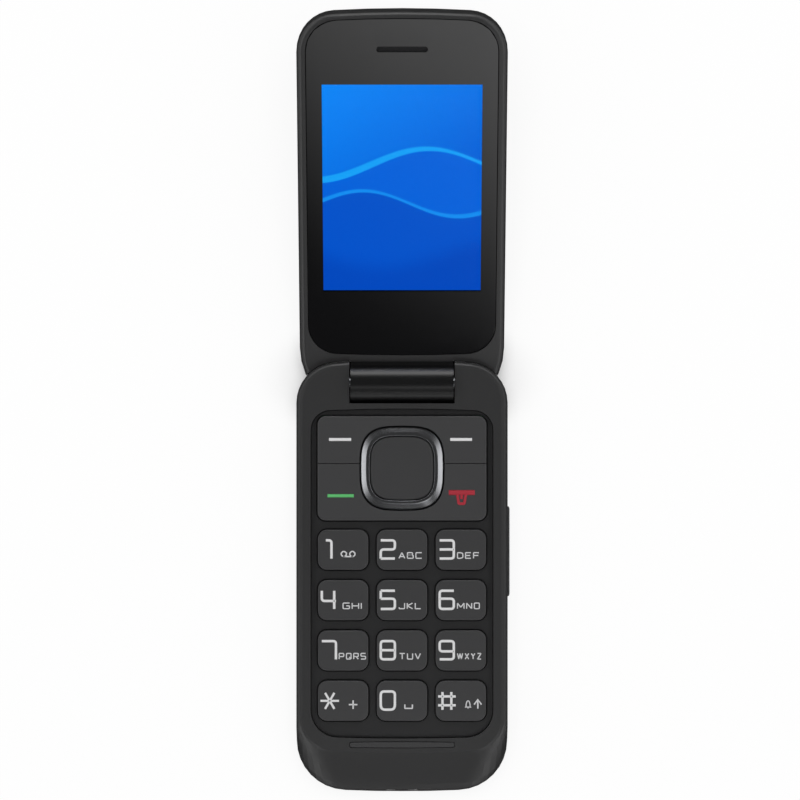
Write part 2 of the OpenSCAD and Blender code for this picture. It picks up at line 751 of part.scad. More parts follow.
module memory_card_holder() color("#c4c6c8") {
    difference() {
        span([memory_x, card_y, board_z - 1.7], [memory_x + memory_w, card_y + card_l, board_z - 0.02]);
        span([memory_x + card_wall, card_y - 1, board_z - 1.4],
             [memory_x + memory_w - card_wall, card_y + card_l - 3 * card_wall, board_z - 0.5]);
    }
}

module base_screws() color("#77797c") {
    at_screws() {
        translate([0, 0, -head_t - 0.02]) cylinder(r = head_r, h = head_t, $fn = 32);
        translate([0, 0, -0.1]) cylinder(r = screw_r, h = screw_l, $fn = 32);
    }
}

module hinge_shaft() color("#b9bbbe") {
    at_axis() rod_x(shaft_r, -pocket_w / 2 - shaft_in + 0.1, -barrel_l / 2 + 4.5);
}

module hinge_pin() color("#b9bbbe") {
    at_axis() rod_x(shaft_r, barrel_l / 2 - pin_in, pocket_w / 2 + shaft_in - 0.1);
}

// ---- lid ----------------------------------------------------------------------------------------

// The lid's outline, drawn in by e. The closed lid's free end lies at -lid_reach along Y.
function lid_ring(e) =
    outline(lid_w / 2 - e, -lid_under - e, -lid_reach + e, lid_near_r - min(e, 4),
            lid_far_r - min(e, 4), 200, lid_far_R);

function lid_edge_in(z) =
    let (d = max(0, lid_n + edge_r - z), u = max(0, z - (lid_top - back_r * 0.8)), q = back_r * 0.8)
    edge_r - sqrt(edge_r * edge_r - d * d) + q - sqrt(max(0, q * q - u * u));

module lid_shell(z0, z1) {
    low = [for (i = [0 : 5]) lid_n + edge_r * (1 - cos(15 * i))];
    high = [for (i = [5 : -1 : 0]) lid_top - back_r * 0.8 * (1 - cos(15 * i))];
    levels = concat([for (z = low) if (z >= z0 - eps && z < z1 - 0.2) z],
                    z0 > lid_n + 1 ? [z0] : [], z1 < lid_top ? [z1] : [],
                    [for (z = high) if (z > z0 + 0.2 && z <= z1 + eps) z]);
    difference() {
        loft([for (z = levels) lift(lid_ring(lid_edge_in(z)), z)]);
        base_room(lid_end_gap);
    }
}

// The open lid ends upright beside the base, so this room, in the lid's axes, is what the base's own
// outline takes from it. It is grown by a gap, and by a wall where the lid is hollow.
module base_room(grow) {
    rotate([open_deg, 0, 0]) translate([0, -axis_y, -axis_z])
        slab(outline(half_w + grow, top_y + grow, -top_y, shoulder_r + grow, chin_r), -base_t, 2 * base_t);
}

// The hollow of a lid shell with a wall of thickness t
module lid_hollow(t, z0, z1) {
    difference() {
        slab(lid_ring(t), z0, z1);
        base_room(lid_end_gap + t);
    }
}

// Where a line from p touches a circle of radius r round the hinge axis
function touch(p, r, side) =
    let (a = atan2(p[1], p[0]) + side * acos(r / norm(p))) [r * cos(a), r * sin(a)];

// The neck between barrel and lid, as (distance along the lid, height)
function neck_points() =
    let (low = [barrel_r, lid_n], high = [5.5, neck_n])
    [touch(low, barrel_r, -1), low, [neck_end, lid_n], [neck_end, neck_n], high,
     touch(high, barrel_r, 1), [0, 0]];

// The flex's way out of the barrel, as (distance along the lid, height), with room g round it
function flex_way(g) = [[0.5 - g, 2.5], [0.7 + g, 2.5], [0.9 + g, 3.9 - g], [8.6 + 2 * g, 5.5 - g],
                        [8.6 + 2 * g, 5.7 + g], [0.8, 4.1 + g], [0.5 - g, 4.1 + g]];

module flex_tail(g, x0, x1) {
    translate([x0, 0, 0]) rotate([90, 0, 90]) linear_extrude(x1 - x0)
        polygon([for (p = flex_way(g)) [-p[0], p[1]]]);
}

module lens_outline(grow, z0, z1) {
    slab(outline(lens_w / 2 + grow, -lens_near + grow, -lid_reach + lens_margin - grow,
                 lens_near_r + grow, lens_far_r + grow, 400, lens_far_R), z0, z1);
}

module at_lid_screws() {
    for (side = [-1, 1]) for (s = lid_screw_at)
        translate([side * lid_screw_x, -s, 0]) children();
}

module lid_inner_housing() color("#2b2b2c") lid_place() difference() {
    union() {
        difference() {
            lid_shell(lid_n, lid_seam);
            lid_hollow(wall, bed_n + bed_t, lid_seam + 1);
        }
        at_lid_screws() translate([0, 0, bed_n]) cylinder(r = 1.7, h = lid_seam - bed_n, $fn = 24);
        rod_x(barrel_r, -barrel_l / 2, barrel_l / 2);
        // neck, clear of the outer housing
        translate([-barrel_l / 2, 0, 0]) rotate([90, 0, 90])
            linear_extrude(barrel_l) polygon([for (p = neck_points()) [-p[0], p[1]]]);
    }
    lens_outline(fit, lid_n - 1, bed_n);
    // window for the picture, then the earpiece slot and the room behind both
    span([-view_w / 2 - 0.6, -view_at - view_h / 2 - 0.6, lid_n - 1],
         [view_w / 2 + 0.6, -view_at + view_h / 2 + 0.6, bed_n + bed_t + 1]);
    translate([0, -ear_at, 0]) slab(rounded(ear_l, ear_w, ear_w / 2 - 0.01, 4), lid_n - 1, lid_seam + 1);
    span([-lcd_w / 2 - fit, -view_at - lcd_l / 2 - fit, bed_n + bed_t],
         [lcd_w / 2 + fit, -view_at + lcd_l / 2 + fit, lid_top]);
    // barrel: room for the cam module at the left, for the flex, and the pin's bore at the right
    rod_x(module_r + run, -barrel_l, barrel_l / 2 - pin_in - 1);
    rod_x(shaft_r + run, 0, barrel_l);
    // way for the flex from the barrel into the lid
    flex_tail(0.3, -1, flex_end);
    at_lid_screws() translate([0, 0, lid_n]) cylinder(r = screw_r + 0.1, h = lid_t, $fn = 24);
    at_lid_screws() translate([0, 0, lid_n]) cylinder(r = head_r + 0.1, h = bed_n - lid_n + 0.5, $fn = 24);
}

module lid_outer_housing() color("#2e2e2e") lid_place() difference() {
    union() {
        difference() {
            lid_shell(lid_seam + seam, lid_top);
            lid_hollow(wall + 0.6, lid_seam - 1, lid_top - lid_wall);
        }
        at_lid_screws() translate([0, 0, lid_seam + seam])
            cylinder(r = 1.7, h = lid_top - lid_wall - lid_seam - seam + eps, $fn = 24);
    }
    at_lid_screws() translate([0, 0, lid_seam - 1]) cylinder(r = screw_r + 0.03, h = 2.6, $fn = 24);
    translate([cam_x, -cam_at, lid_top - 1.5]) cylinder(r = window_r + 0.05, h = 2, $fn = 48);
    // room for the neck
    translate([-barrel_l / 2 - fit, -neck_end - fit, 0]) cube([barrel_l + 2 * fit, neck_end, neck_n + fit]);
}

module screen_lens() color("#111214") lid_place() difference() {
    lens_outline(0, lens_n, lens_n + lens_t);
    translate([0, -ear_at, 0]) slab(rounded(ear_l, ear_w, ear_w / 2 - 0.01, 4), 0, lid_top);
}

module lcd_module() color("#0a56d8") lid_place() {
    span([-lcd_w / 2, -view_at - lcd_l / 2, lcd_n], [lcd_w / 2, -view_at + lcd_l / 2, lcd_n + lcd_t]);
    span([-view_w / 2 - 0.4, -view_at - view_h / 2 - 0.4, bed_n + 0.1],
         [view_w / 2 + 0.4, -view_at + view_h / 2 + 0.4, lcd_n]);
}

module light_guide() color("#e9edf0") lid_place()
    span([-lcd_w / 2 + 0.4, -view_at - lcd_l / 2 + 0.4, lcd_n + lcd_t + 0.02],
         [lcd_w / 2 - 0.4, -view_at + lcd_l / 2 - 0.4, lcd_n + lcd_t + guide_t]);

module lid_board() color("#1d5a3a") lid_place() {
    z = lcd_n + lcd_t + guide_t + 0.1;
    span([-lcd_w / 2, -view_at - lcd_l / 2, z], [lcd_w / 2, -view_at + lcd_l / 2 + 3, z + 0.5]);
}

module earpiece_mesh() color("#1a1a1b") lid_place() translate([0, -ear_at, 0])
    slab(rounded(ear_l - 0.06, ear_w - 0.06, ear_w / 2 - 0.04, 4), lens_n + 0.5, lens_n + 0.8);

module earpiece() color("#3a3a3c") lid_place() translate([0, -ear_at, 0]) {
    slab(rounded(ear_l + 1.4, 6, 1.2, 4), lcd_n + 0.05, lcd_n + 2.3);
    slab(rounded(ear_l - 1, 0.6, 0.29, 4), bed_n - 0.2, lcd_n + 0.05);
}

module camera_module() color("#151516") lid_place() translate([cam_x, -cam_at, 0]) {
    z = lcd_n + 0.05;
    span([-cam_w / 2, -cam_w / 2, z], [cam_w / 2, cam_w / 2, z + 2.6]);
    translate([0, 0, z + 2.6]) cylinder(r = 2.4, h = lid_top - 1.4 - z - 2.6, $fn = 32);
}

module camera_window() color("#0d0d0f") lid_place() translate([cam_x, -cam_at, lid_top - 1.2])
    cylinder(r = window_r, h = 1.1, $fn = 48);

module hinge_cam_module() color("#8f9194") lid_place() difference() {
    rod_x(module_r, -barrel_l / 2 + 0.1, -barrel_l / 2 + module_l);
    rod_x(shaft_r + run, -barrel_l, -barrel_l / 2 + 4.7);
}

module hinge_flex() color("#b8762c") lid_place() {
    difference() {
        rod_x(2.6, -1.5, flex_end);
        rod_x(2.3, -2, flex_end + 1);
    }
    flex_tail(0, -0.6, flex_end - 0.4);
}

module closing_magnet() color("#8a8c90") lid_place()
    translate([-cam_x, -ear_at - 1, lcd_n + 0.05]) cube([magnet_l, 2, 1.4]);

module lid_screws() color("#77797c") lid_place() at_lid_screws() {
    translate([0, 0, bed_n + 0.03]) cylinder(r = head_r, h = lid_head_t, $fn = 24);
    translate([0, 0, bed_n + 0.4]) cylinder(r = screw_r, h = 2.6, $fn = 24);
}

base_front_housing();
base_rear_housing();
battery_cover();
battery_pack();
battery_contacts();
main_board();
shield_cans();
dome_sheet();
keypad_mat();
keypad_frame();
bumper_strip();
soft_key_bar();
call_key_bar();
nav_ring();
ok_key();
volume_key();
side_key_board();
loudspeaker();
microphone();
vibration_motor();
antenna();
usb_socket();
headset_jack();
sim_holder();
sim_card();
memory_card_holder();
base_screws();
hinge_shaft();
hinge_pin();
lid_inner_housing();
lid_outer_housing();
screen_lens();
lcd_module();
light_guide();
lid_board();
earpiece_mesh();
earpiece();
camera_module();
camera_window();
hinge_cam_module();
hinge_flex();
closing_magnet();
lid_screws();
for (i = [0 : 11])
    number_key(i);
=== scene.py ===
"""Flip phone, open and face up: finishes, printed legends, screen picture, light and camera.

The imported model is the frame. Housings, bars, ring, OK key and lens are softened copies of its nodes, and
the lens is cut into a black and a clear part. Number caps, legends and the lit picture are modelled here.
"""

from __future__ import annotations

import json
import logging
import math
from dataclasses import dataclass, field
from enum import Enum
from typing import Any, Sequence

import bmesh
import bpy
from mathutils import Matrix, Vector

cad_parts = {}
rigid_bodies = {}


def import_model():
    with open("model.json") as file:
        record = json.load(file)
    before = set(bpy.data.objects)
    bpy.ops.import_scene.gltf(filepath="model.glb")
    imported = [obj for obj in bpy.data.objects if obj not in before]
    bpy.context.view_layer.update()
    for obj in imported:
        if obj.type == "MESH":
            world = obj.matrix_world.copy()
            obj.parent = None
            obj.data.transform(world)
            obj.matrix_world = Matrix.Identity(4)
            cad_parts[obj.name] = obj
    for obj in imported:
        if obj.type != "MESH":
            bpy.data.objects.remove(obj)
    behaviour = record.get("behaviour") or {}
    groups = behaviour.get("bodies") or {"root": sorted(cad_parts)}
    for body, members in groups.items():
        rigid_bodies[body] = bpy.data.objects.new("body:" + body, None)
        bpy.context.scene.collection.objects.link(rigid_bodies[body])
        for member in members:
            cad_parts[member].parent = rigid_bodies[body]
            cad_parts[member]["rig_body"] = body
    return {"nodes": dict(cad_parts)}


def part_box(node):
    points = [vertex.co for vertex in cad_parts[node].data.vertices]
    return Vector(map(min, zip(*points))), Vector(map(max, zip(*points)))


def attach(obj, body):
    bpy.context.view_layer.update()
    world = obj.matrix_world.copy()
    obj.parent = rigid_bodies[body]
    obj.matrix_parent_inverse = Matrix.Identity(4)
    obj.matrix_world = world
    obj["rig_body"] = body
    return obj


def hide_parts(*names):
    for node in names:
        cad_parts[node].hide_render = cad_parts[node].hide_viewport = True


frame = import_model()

log = logging.getLogger("flip_phone")

MM = 0.001
AXIS_Y = 45.3 * MM
AXIS_Z = 8.8 * MM
OPEN_ANGLE = math.radians(161.5)
KEY_TOP = 10.9 * MM
INK = 0.03 * MM


def linear(colour: str) -> tuple[float, float, float, float]:
    """Turns an sRGB hex colour into the linear values that a shader takes.

    Args:
        colour: The colour as "#rrggbb".

    Returns:
        Linear red, green, blue and an alpha of 1.
    """
    parts = [int(colour[i:i + 2], 16) / 255 for i in (1, 3, 5)]
    red, green, blue = (c / 12.92 if c <= 0.04045 else ((c + 0.055) / 1.055) ** 2.4 for c in parts)
    return red, green, blue, 1.0


def per_metre(size_mm: float) -> float:
    """Gives the texture scale at which one feature measures that many millimetres."""
    return 1000.0 / size_mm


def add_node(tree: bpy.types.NodeTree, kind: str, sockets: dict[Any, Any] | None = None,
             **settings: Any) -> bpy.types.Node:
    """Adds a node, sets its properties and fills or links its input sockets.

    Args:
        tree: The node tree.
        kind: The node's type name without its "ShaderNode" prefix.
        sockets: Values or output sockets by input socket name or index.
        settings: The node's own properties.

    Returns:
        The new node.
    """
    made = tree.nodes.new("ShaderNode" + kind)
    for key, value in settings.items():
        setattr(made, key, value)
    for key, value in (sockets or {}).items():
        if isinstance(value, bpy.types.NodeSocket):
            tree.links.new(value, made.inputs[key])
        else:
            made.inputs[key].default_value = value
    return made


class Pattern(Enum):
    """How a finish's two tones are laid out over a surface."""

    GRAIN = "grain"
    BRUSHED = "brushed"
    HOLES = "holes"
    TRACKS = "tracks"
    FOLDS = "folds"


@dataclass(frozen=True)
class Finish:
    """A surface finish, with its colours, its gloss and the size of what patterns it."""

    name: str
    colour: str
    second: str
    grain_mm: float
    roughness: float
    spread: float = 0.05
    relief_mm: float = 0.0
    metallic: float = 0.0
    ior: float = 1.5
    coat: float = 0.0
    specular: float = 0.5
    transmission: float = 0.0
    pattern: Pattern = Pattern.GRAIN
    stretch: tuple[float, float, float] = (1.0, 1.0, 1.0)

    def material(self) -> bpy.types.Material:
        """Builds the finish's material once, and gives the same one after that.

        Returns:
            The material.
        """
        known = bpy.data.materials.get(self.name)
        if known:
            return known
        made, tree = new_tree(self.name)
        place = add_node(tree, "TexCoord").outputs["Object"]
        mask, height = self.layout(tree, place)
        tone = add_node(tree, "Mix", {"Factor": mask, 6: linear(self.colour), 7: linear(self.second)},
                        data_type="RGBA")
        gloss = add_node(tree, "MapRange", {"Value": height, "To Min": self.roughness - self.spread,
                                            "To Max": self.roughness + self.spread})
        shader = add_node(tree, "BsdfPrincipled", {
            "Base Color": tone.outputs[2], "Roughness": gloss.outputs["Result"],
            "Metallic": self.metallic, "IOR": self.ior, "Specular IOR Level": self.specular,
            "Coat Weight": self.coat, "Coat Roughness": 0.04, "Transmission Weight": self.transmission})
        if self.relief_mm:
            bump = add_node(tree, "Bump", {"Height": height, "Distance": self.relief_mm * MM,
                                           "Strength": 1.0})
            tree.links.new(bump.outputs["Normal"], shader.inputs["Normal"])
        add_node(tree, "OutputMaterial", {"Surface": shader.outputs["BSDF"]})
        return made

    def layout(self, tree: bpy.types.NodeTree,
               place: bpy.types.NodeSocket) -> tuple[bpy.types.NodeSocket, bpy.types.NodeSocket]:
        """Lays out the pattern that mixes the two tones.

        Args:
            tree: The material's node tree.
            place: Where a point lies, in object coordinates.

        Returns:
            The mix of the tones and the height of the relief, both from 0 to 1.
        """
        scale = per_metre(self.grain_mm)
        turned = add_node(tree, "Mapping", {"Vector": place, "Scale": self.stretch}).outputs["Vector"]
        if self.pattern is Pattern.HOLES:
            cells = add_node(tree, "TexVoronoi", {"Vector": turned, "Scale": scale, "Randomness": 0.0})
            edge = add_node(tree, "MapRange", {"Value": cells.outputs["Distance"], "From Min": 0.3,
                                               "From Max": 0.36})
            return edge.outputs["Result"], edge.outputs["Result"]
        if self.pattern is Pattern.TRACKS:
            bricks = add_node(tree, "TexBrick", {"Vector": turned, "Scale": scale, "Mortar Size": 0.09,
                                                 "Color1": (0, 0, 0, 1), "Color2": (0, 0, 0, 1),
                                                 "Mortar": (1, 1, 1, 1), "Brick Width": 1.6,
                                                 "Row Height": 0.7}, offset_frequency=3, squash=0.6)
            return bricks.outputs["Fac"], bricks.outputs["Fac"]
        if self.pattern is Pattern.FOLDS:
            lines = add_node(tree, "TexWave", {"Vector": turned, "Scale": scale / 4, "Distortion": 0.0},
                             wave_type="BANDS", bands_direction="X")
            return lines.outputs["Fac"], lines.outputs["Fac"]
        fine = add_node(tree, "TexNoise", {"Vector": turned, "Scale": scale, "Detail": 3.0, "Roughness": 0.6})
        broad = add_node(tree, "TexNoise", {"Vector": place, "Scale": per_metre(14.0), "Detail": 2.0})
        both = add_node(tree, "Mix", {"Factor": 0.5, "A": fine.outputs["Fac"], "B": broad.outputs["Fac"]},
                        data_type="FLOAT")
        return both.outputs[0], fine.outputs["Fac"]


# Spark-eroded mould: an even, fine satin black that softens every highlight
MOULDED_BLACK = Finish("spark-eroded moulded polycarbonate", "#262626", "#2b2b2c", 0.35, 0.36, 0.05, 0.004)
# Coarser mould texture: duller than the housings, with a grain that shows close by
COVER_BLACK = Finish("textured moulded ABS", "#222223", "#29292a", 0.45, 0.5, 0.06, 0.010)
# Matt moulding: the darkest flat, so that the keys stand out of it
FRAME_BLACK = Finish("matt moulded ABS", "#131314", "#171718", 0.3, 0.5, 0.05, 0.004)
# Soft-touch paint: a matt dark grey without a sparkle
PLATE_GREY = Finish("soft-touch painted keys", "#303031", "#343435", 0.35, 0.46, 0.05, 0.003)
# Painted and laser-etched: a little darker than the plate, equally matt
KEY_GREY = Finish("laser-etched key caps", "#2d2d2e", "#313132", 0.35, 0.46, 0.05, 0.003)
# Pressed rubber: the widest, dullest highlight of all
BUMPER_RUBBER = Finish("pressed rubber strip", "#282829", "#2c2c2d", 0.4, 0.6, 0.05, 0.006)
# Polished mould: one soft bright band along the barrel, nearly black elsewhere
BARREL_BLACK = Finish("polished moulded polycarbonate", "#09090a", "#0c0c0d", 0.5, 0.3, 0.03)
# Silicone: matt with a faint mottle
SILICONE = Finish("silicone keypad mat", "#171718", "#1d1d1f", 0.6, 0.55, 0.06, 0.008)
# Acrylic printed black from behind: deep black under a sharp reflection
LENS_BLACK = Finish("back-printed acrylic", "#060607", "#08080a", 2.0, 0.07, 0.02)
# Coated clear acrylic: the picture behind shows undimmed, with hardly a reflection
LENS_CLEAR = Finish("clear coated acrylic", "#ffffff", "#fdfeff", 5.0, 0.03, 0.01, ior=1.1, transmission=1.0)
# Smoked glass: a black disc that mirrors the room
GLASS_DARK = Finish("smoked camera glass", "#050506", "#0a0a0d", 1.5, 0.04, 0.02)
# Smoked chrome: a dark mirror, bright where it faces a light
CHROME_DARK = Finish("smoked chrome plating", "#9b9c9f", "#8f9093", 0.5, 0.2, 0.04, 0.001, metallic=1.0)
# Woven mesh: dark cells between lighter wires
MESH_STEEL = Finish("woven steel mesh", "#060607", "#1d1d1f", 0.42, 0.45, 0.1, 0.06, metallic=0.3,
                    pattern=Pattern.HOLES)
# Heat-shrunk sleeve: a satin grey skin
BATTERY_SLEEVE = Finish("heat-shrunk battery sleeve", "#8a9094", "#949a9e", 0.9, 0.42, 0.06, 0.01)
# Glass-filled nylon: black with a lighter, fibrous fleck
BLACK_NYLON = Finish("glass-filled nylon", "#161617", "#1f1f20", 0.25, 0.48, 0.08, 0.01)
# Solder mask: glossy green, lighter over the tracks
BOARD_GREEN = Finish("solder mask over copper tracks", "#0e4a2c", "#1c6a3f", 1.3, 0.32, 0.04, 0.02,
                     coat=0.4, pattern=Pattern.TRACKS)
# Rolled tinplate: bright grey, streaked the way it was rolled
TINPLATE = Finish("rolled tinplate", "#b4b6b8", "#a4a6a9", 0.5, 0.3, 0.08, 0.004, metallic=1.0,
                  pattern=Pattern.BRUSHED, stretch=(1.0, 0.08, 1.0))
# Turned steel: a darker grey than tinplate, with the lathe's fine lines
TURNED_STEEL = Finish("turned stainless steel", "#9da0a3", "#8b8e91", 0.3, 0.3, 0.07, 0.004, metallic=1.0,
                      pattern=Pattern.BRUSHED, stretch=(0.15, 1.0, 1.0))
# Black nickel plating: a dark metal that hardly catches the light
BLACK_NICKEL = Finish("black nickel plated steel", "#2e2f31", "#27282a", 0.4, 0.38, 0.06, metallic=1.0)
# Polyester film: milky white and smooth
WHITE_FILM = Finish("polyester dome film", "#d6d6d0", "#dededa", 1.2, 0.5, 0.06, 0.006)
# Polyimide: glossy amber in soft bands, darker where the relief of the folds sinks
FLEX_AMBER = Finish("polyimide flexible circuit", "#a8641c", "#c98538", 0.8, 0.34, 0.05, 0.01,
                    coat=0.3, pattern=Pattern.FOLDS)
# Card plastic: warm white, half matt
CARD_WHITE = Finish("printed card plastic", "#ded9cc", "#e6e2d8", 1.0, 0.4, 0.05, 0.003)
# Display glass: near black when it isn't lit
DISPLAY_DARK = Finish("display glass", "#07090c", "#0b0e12", 3.0, 0.1, 0.03)
# Pad-printed inks: flat, opaque and matt; the letters are printed thinner than the digits
INK_WHITE = Finish("white pad-printed ink", "#d9d9d9", "#d0d0d1", 0.2, 0.5, 0.05)
INK_FAINT = Finish("thin white pad-printed ink", "#cdcdce", "#c3c3c5", 0.2, 0.5, 0.05)
INK_GREEN = Finish("green pad-printed ink", "#56b567", "#50ac61", 0.2, 0.5, 0.05)
INK_RED = Finish("red pad-printed ink", "#a3182b", "#971527", 0.2, 0.5, 0.05)

# The finish of every node that keeps its own mesh, and of the smoothed copies that stand for the rest
NODE_FINISHES: dict[str, Finish] = {
    "base_front_housing": MOULDED_BLACK, "base_rear_housing": MOULDED_BLACK, "battery_cover": COVER_BLACK,
    "lid_inner_housing": MOULDED_BLACK, "lid_outer_housing": MOULDED_BLACK, "keypad_frame": FRAME_BLACK,
    "bumper_strip": BUMPER_RUBBER, "volume_key": PLATE_GREY, "keypad_mat": SILICONE,
    "soft_key_bar": PLATE_GREY, "call_key_bar": PLATE_GREY, "ok_key": KEY_GREY, "nav_ring": CHROME_DARK,
    "battery_pack": BATTERY_SLEEVE, "battery_contacts": BLACK_NYLON, "main_board": BOARD_GREEN,
    "lid_board": BOARD_GREEN, "shield_cans": TINPLATE, "dome_sheet": WHITE_FILM,
    "side_key_board": FLEX_AMBER, "loudspeaker": BLACK_NYLON, "earpiece": BLACK_NYLON,
    "microphone": TINPLATE, "vibration_motor": TURNED_STEEL, "antenna": BLACK_NYLON,
    "usb_socket": BLACK_NICKEL, "headset_jack": BLACK_NYLON, "sim_holder": TINPLATE, "sim_card": CARD_WHITE,
    "memory_card_holder": TINPLATE, "base_screws": TURNED_STEEL, "lid_screws": TURNED_STEEL,
    "hinge_shaft": TURNED_STEEL, "hinge_pin": TURNED_STEEL, "hinge_cam_module": TURNED_STEEL,
    "closing_magnet": TURNED_STEEL, "hinge_flex": FLEX_AMBER, "lcd_module": DISPLAY_DARK,
    "light_guide": WHITE_FILM, "earpiece_mesh": MESH_STEEL, "camera_module": BLACK_NYLON,
    "camera_window": GLASS_DARK,
}


def body_of(node: str) -> str:
    """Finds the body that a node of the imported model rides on.

    Args:
        node: The node's name.

    Returns:
        The body's name.
    """
    return frame["nodes"][node]["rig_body"]


def deselect() -> None:
    """Leaves nothing selected, so that a new primitive is shaped alone."""
    for other in bpy.data.objects:
        other.select_set(False)


def only(piece: bpy.types.Object) -> bpy.types.Object:
    """Leaves one piece selected and active, so that an operator acts on nothing else.

    Args:
        piece: The piece to select.

    Returns:
        The same piece.
    """
    deselect()
    piece.select_set(True)
    bpy.context.view_layer.objects.active = piece
    return piece


def new_plane(name: str, size: float,
              place: tuple[float, float, float] = (0.0, 0.0, 0.0)) -> bpy.types.Object:
    """Adds a square plane with nothing else selected.

    Args:
        name: The plane's name.
        size: The length of its sides, in metres.
        place: Its middle.

    Returns:
        The plane.
    """
    deselect()
    bpy.ops.mesh.primitive_plane_add(size=size, location=place)
    piece = bpy.context.active_object
    piece.name = name
    return piece


def new_tree(name: str) -> tuple[bpy.types.Material, bpy.types.NodeTree]:
    """Makes a material with an empty node tree.

    Args:
        name: The material's name.

    Returns:
        The material and its tree.
    """
    made = bpy.data.materials.new(name)
    made.use_nodes = True
    made.node_tree.nodes.clear()
    return made, made.node_tree


def set_down(piece: bpy.types.Object) -> None:
    """Moves a piece's turn, size and place into its mesh."""
    only(piece)
    bpy.ops.object.transform_apply(location=True, rotation=True, scale=True)


def modify(piece: bpy.types.Object, kind: str, **settings: Any) -> None:
    """Adds a modifier with its settings and applies it.

    Args:
        piece: The piece to change.
        kind: The modifier's type.
        settings: The modifier's properties.
    """
    only(piece)
    made = piece.modifiers.new(kind.lower(), kind)
    for key, value in settings.items():
        setattr(made, key, value)
    bpy.ops.object.modifier_apply(modifier=made.name)


def smooth(piece: bpy.types.Object, degrees: float = 32.0) -> None:
    """Shades a piece smooth across edges that are flatter than an angle."""
    only(piece)
    bpy.ops.object.shade_smooth_by_angle(angle=math.radians(degrees))


def finish_piece(piece: bpy.types.Object, body: str, finish: Finish,
                 replaced: Sequence[str] = ()) -> bpy.types.Object:
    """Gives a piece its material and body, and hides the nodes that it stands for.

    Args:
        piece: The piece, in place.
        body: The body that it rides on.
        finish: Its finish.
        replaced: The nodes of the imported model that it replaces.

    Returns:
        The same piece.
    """
    piece.data.materials.clear()
    piece.data.materials.append(finish.material())
    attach(piece, body)
    if replaced:
        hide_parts(*replaced)
    log.info("%s: %d faces, %s", piece.name, len(piece.data.polygons), finish.name)
    return piece


def copy_of(node: str, name: str, merge_flats: bool = True) -> bpy.types.Object:
    """Copies a node's mesh as a new piece and joins its loose triangles.

    Args:
        node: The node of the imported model.
        name: The new piece's name.
        merge_flats: Whether flat areas become single faces.

    Returns:
        The copy.
    """
    mesh = frame["nodes"][node].data.copy()
    mesh.name = name
    piece = bpy.data.objects.new(name, mesh)
    bpy.context.scene.collection.objects.link(piece)
    only(piece)
    bpy.ops.object.mode_set(mode="EDIT")
    bpy.ops.mesh.select_all(action="SELECT")
    bpy.ops.mesh.remove_doubles(threshold=0.002 * MM)
    if merge_flats:
        bpy.ops.mesh.dissolve_limited(angle_limit=math.radians(0.5))
    bpy.ops.object.mode_set(mode="OBJECT")
    return piece


@dataclass
class Shells:
    """The moulded housings and the other nodes whose copies only need soft edges."""

    soft_edge_mm: float = 0.12
    creased: float = 6.0
    rounded: float = 32.0
    barrel_half: float = 12.6
    barrel_r: float = 5.7
    names: tuple[str, ...] = ("base_front_housing", "base_rear_housing", "battery_cover",
                              "lid_inner_housing", "lid_outer_housing", "volume_key", "bumper_strip",
                              "keypad_frame")

    def build(self) -> None:
        """Copies each shell, softens its sharp edges and dresses it."""
        for node in self.names:
            piece = copy_of(node, node + "_skin")
            modify(piece, "BEVEL", width=self.soft_edge_mm * MM, segments=2, limit_method="ANGLE",
                   angle_limit=math.radians(38), use_clamp_overlap=True, harden_normals=False)
            smooth(piece, self.creased if node == "base_front_housing" else self.rounded)
            modify(piece, "WEIGHTED_NORMAL", keep_sharp=True)
            finish_piece(piece, body_of(node), NODE_FINISHES[node], [node])
            if node == "lid_inner_housing":
                self.polish_barrel(piece)

    def polish_barrel(self, piece: bpy.types.Object) -> None:
        """Gives the hinge barrel, which is moulded with the lid, its polished finish."""
        piece.data.materials.append(BARREL_BLACK.material())
        for face in piece.data.polygons:
            spans = [piece.data.vertices[i].co for i in face.vertices]
            reach = max(math.hypot(v.y - AXIS_Y, v.z - AXIS_Z) for v in spans)
            if max(abs(v.x) for v in spans) < self.barrel_half * MM and reach < self.barrel_r * MM:
                face.material_index = 1


@dataclass
class FunctionKeys:
    """The two tilting bars, the chromed ring and the OK key, as softened copies of their nodes."""

    soft_edge_mm: float = 0.1
    names: tuple[str, ...] = ("soft_key_bar", "call_key_bar", "nav_ring", "ok_key")

    def build(self) -> None:
        """Copies each key, rounds its rim and dresses it."""
        for node in self.names:
            piece = copy_of(node, node + "_cap")
            modify(piece, "BEVEL", width=self.soft_edge_mm * MM, segments=3, limit_method="ANGLE",
                   angle_limit=math.radians(24))
            smooth(piece, 40.0)
            modify(piece, "WEIGHTED_NORMAL", keep_sharp=True)
            finish_piece(piece, body_of(node), NODE_FINISHES[node], [node])


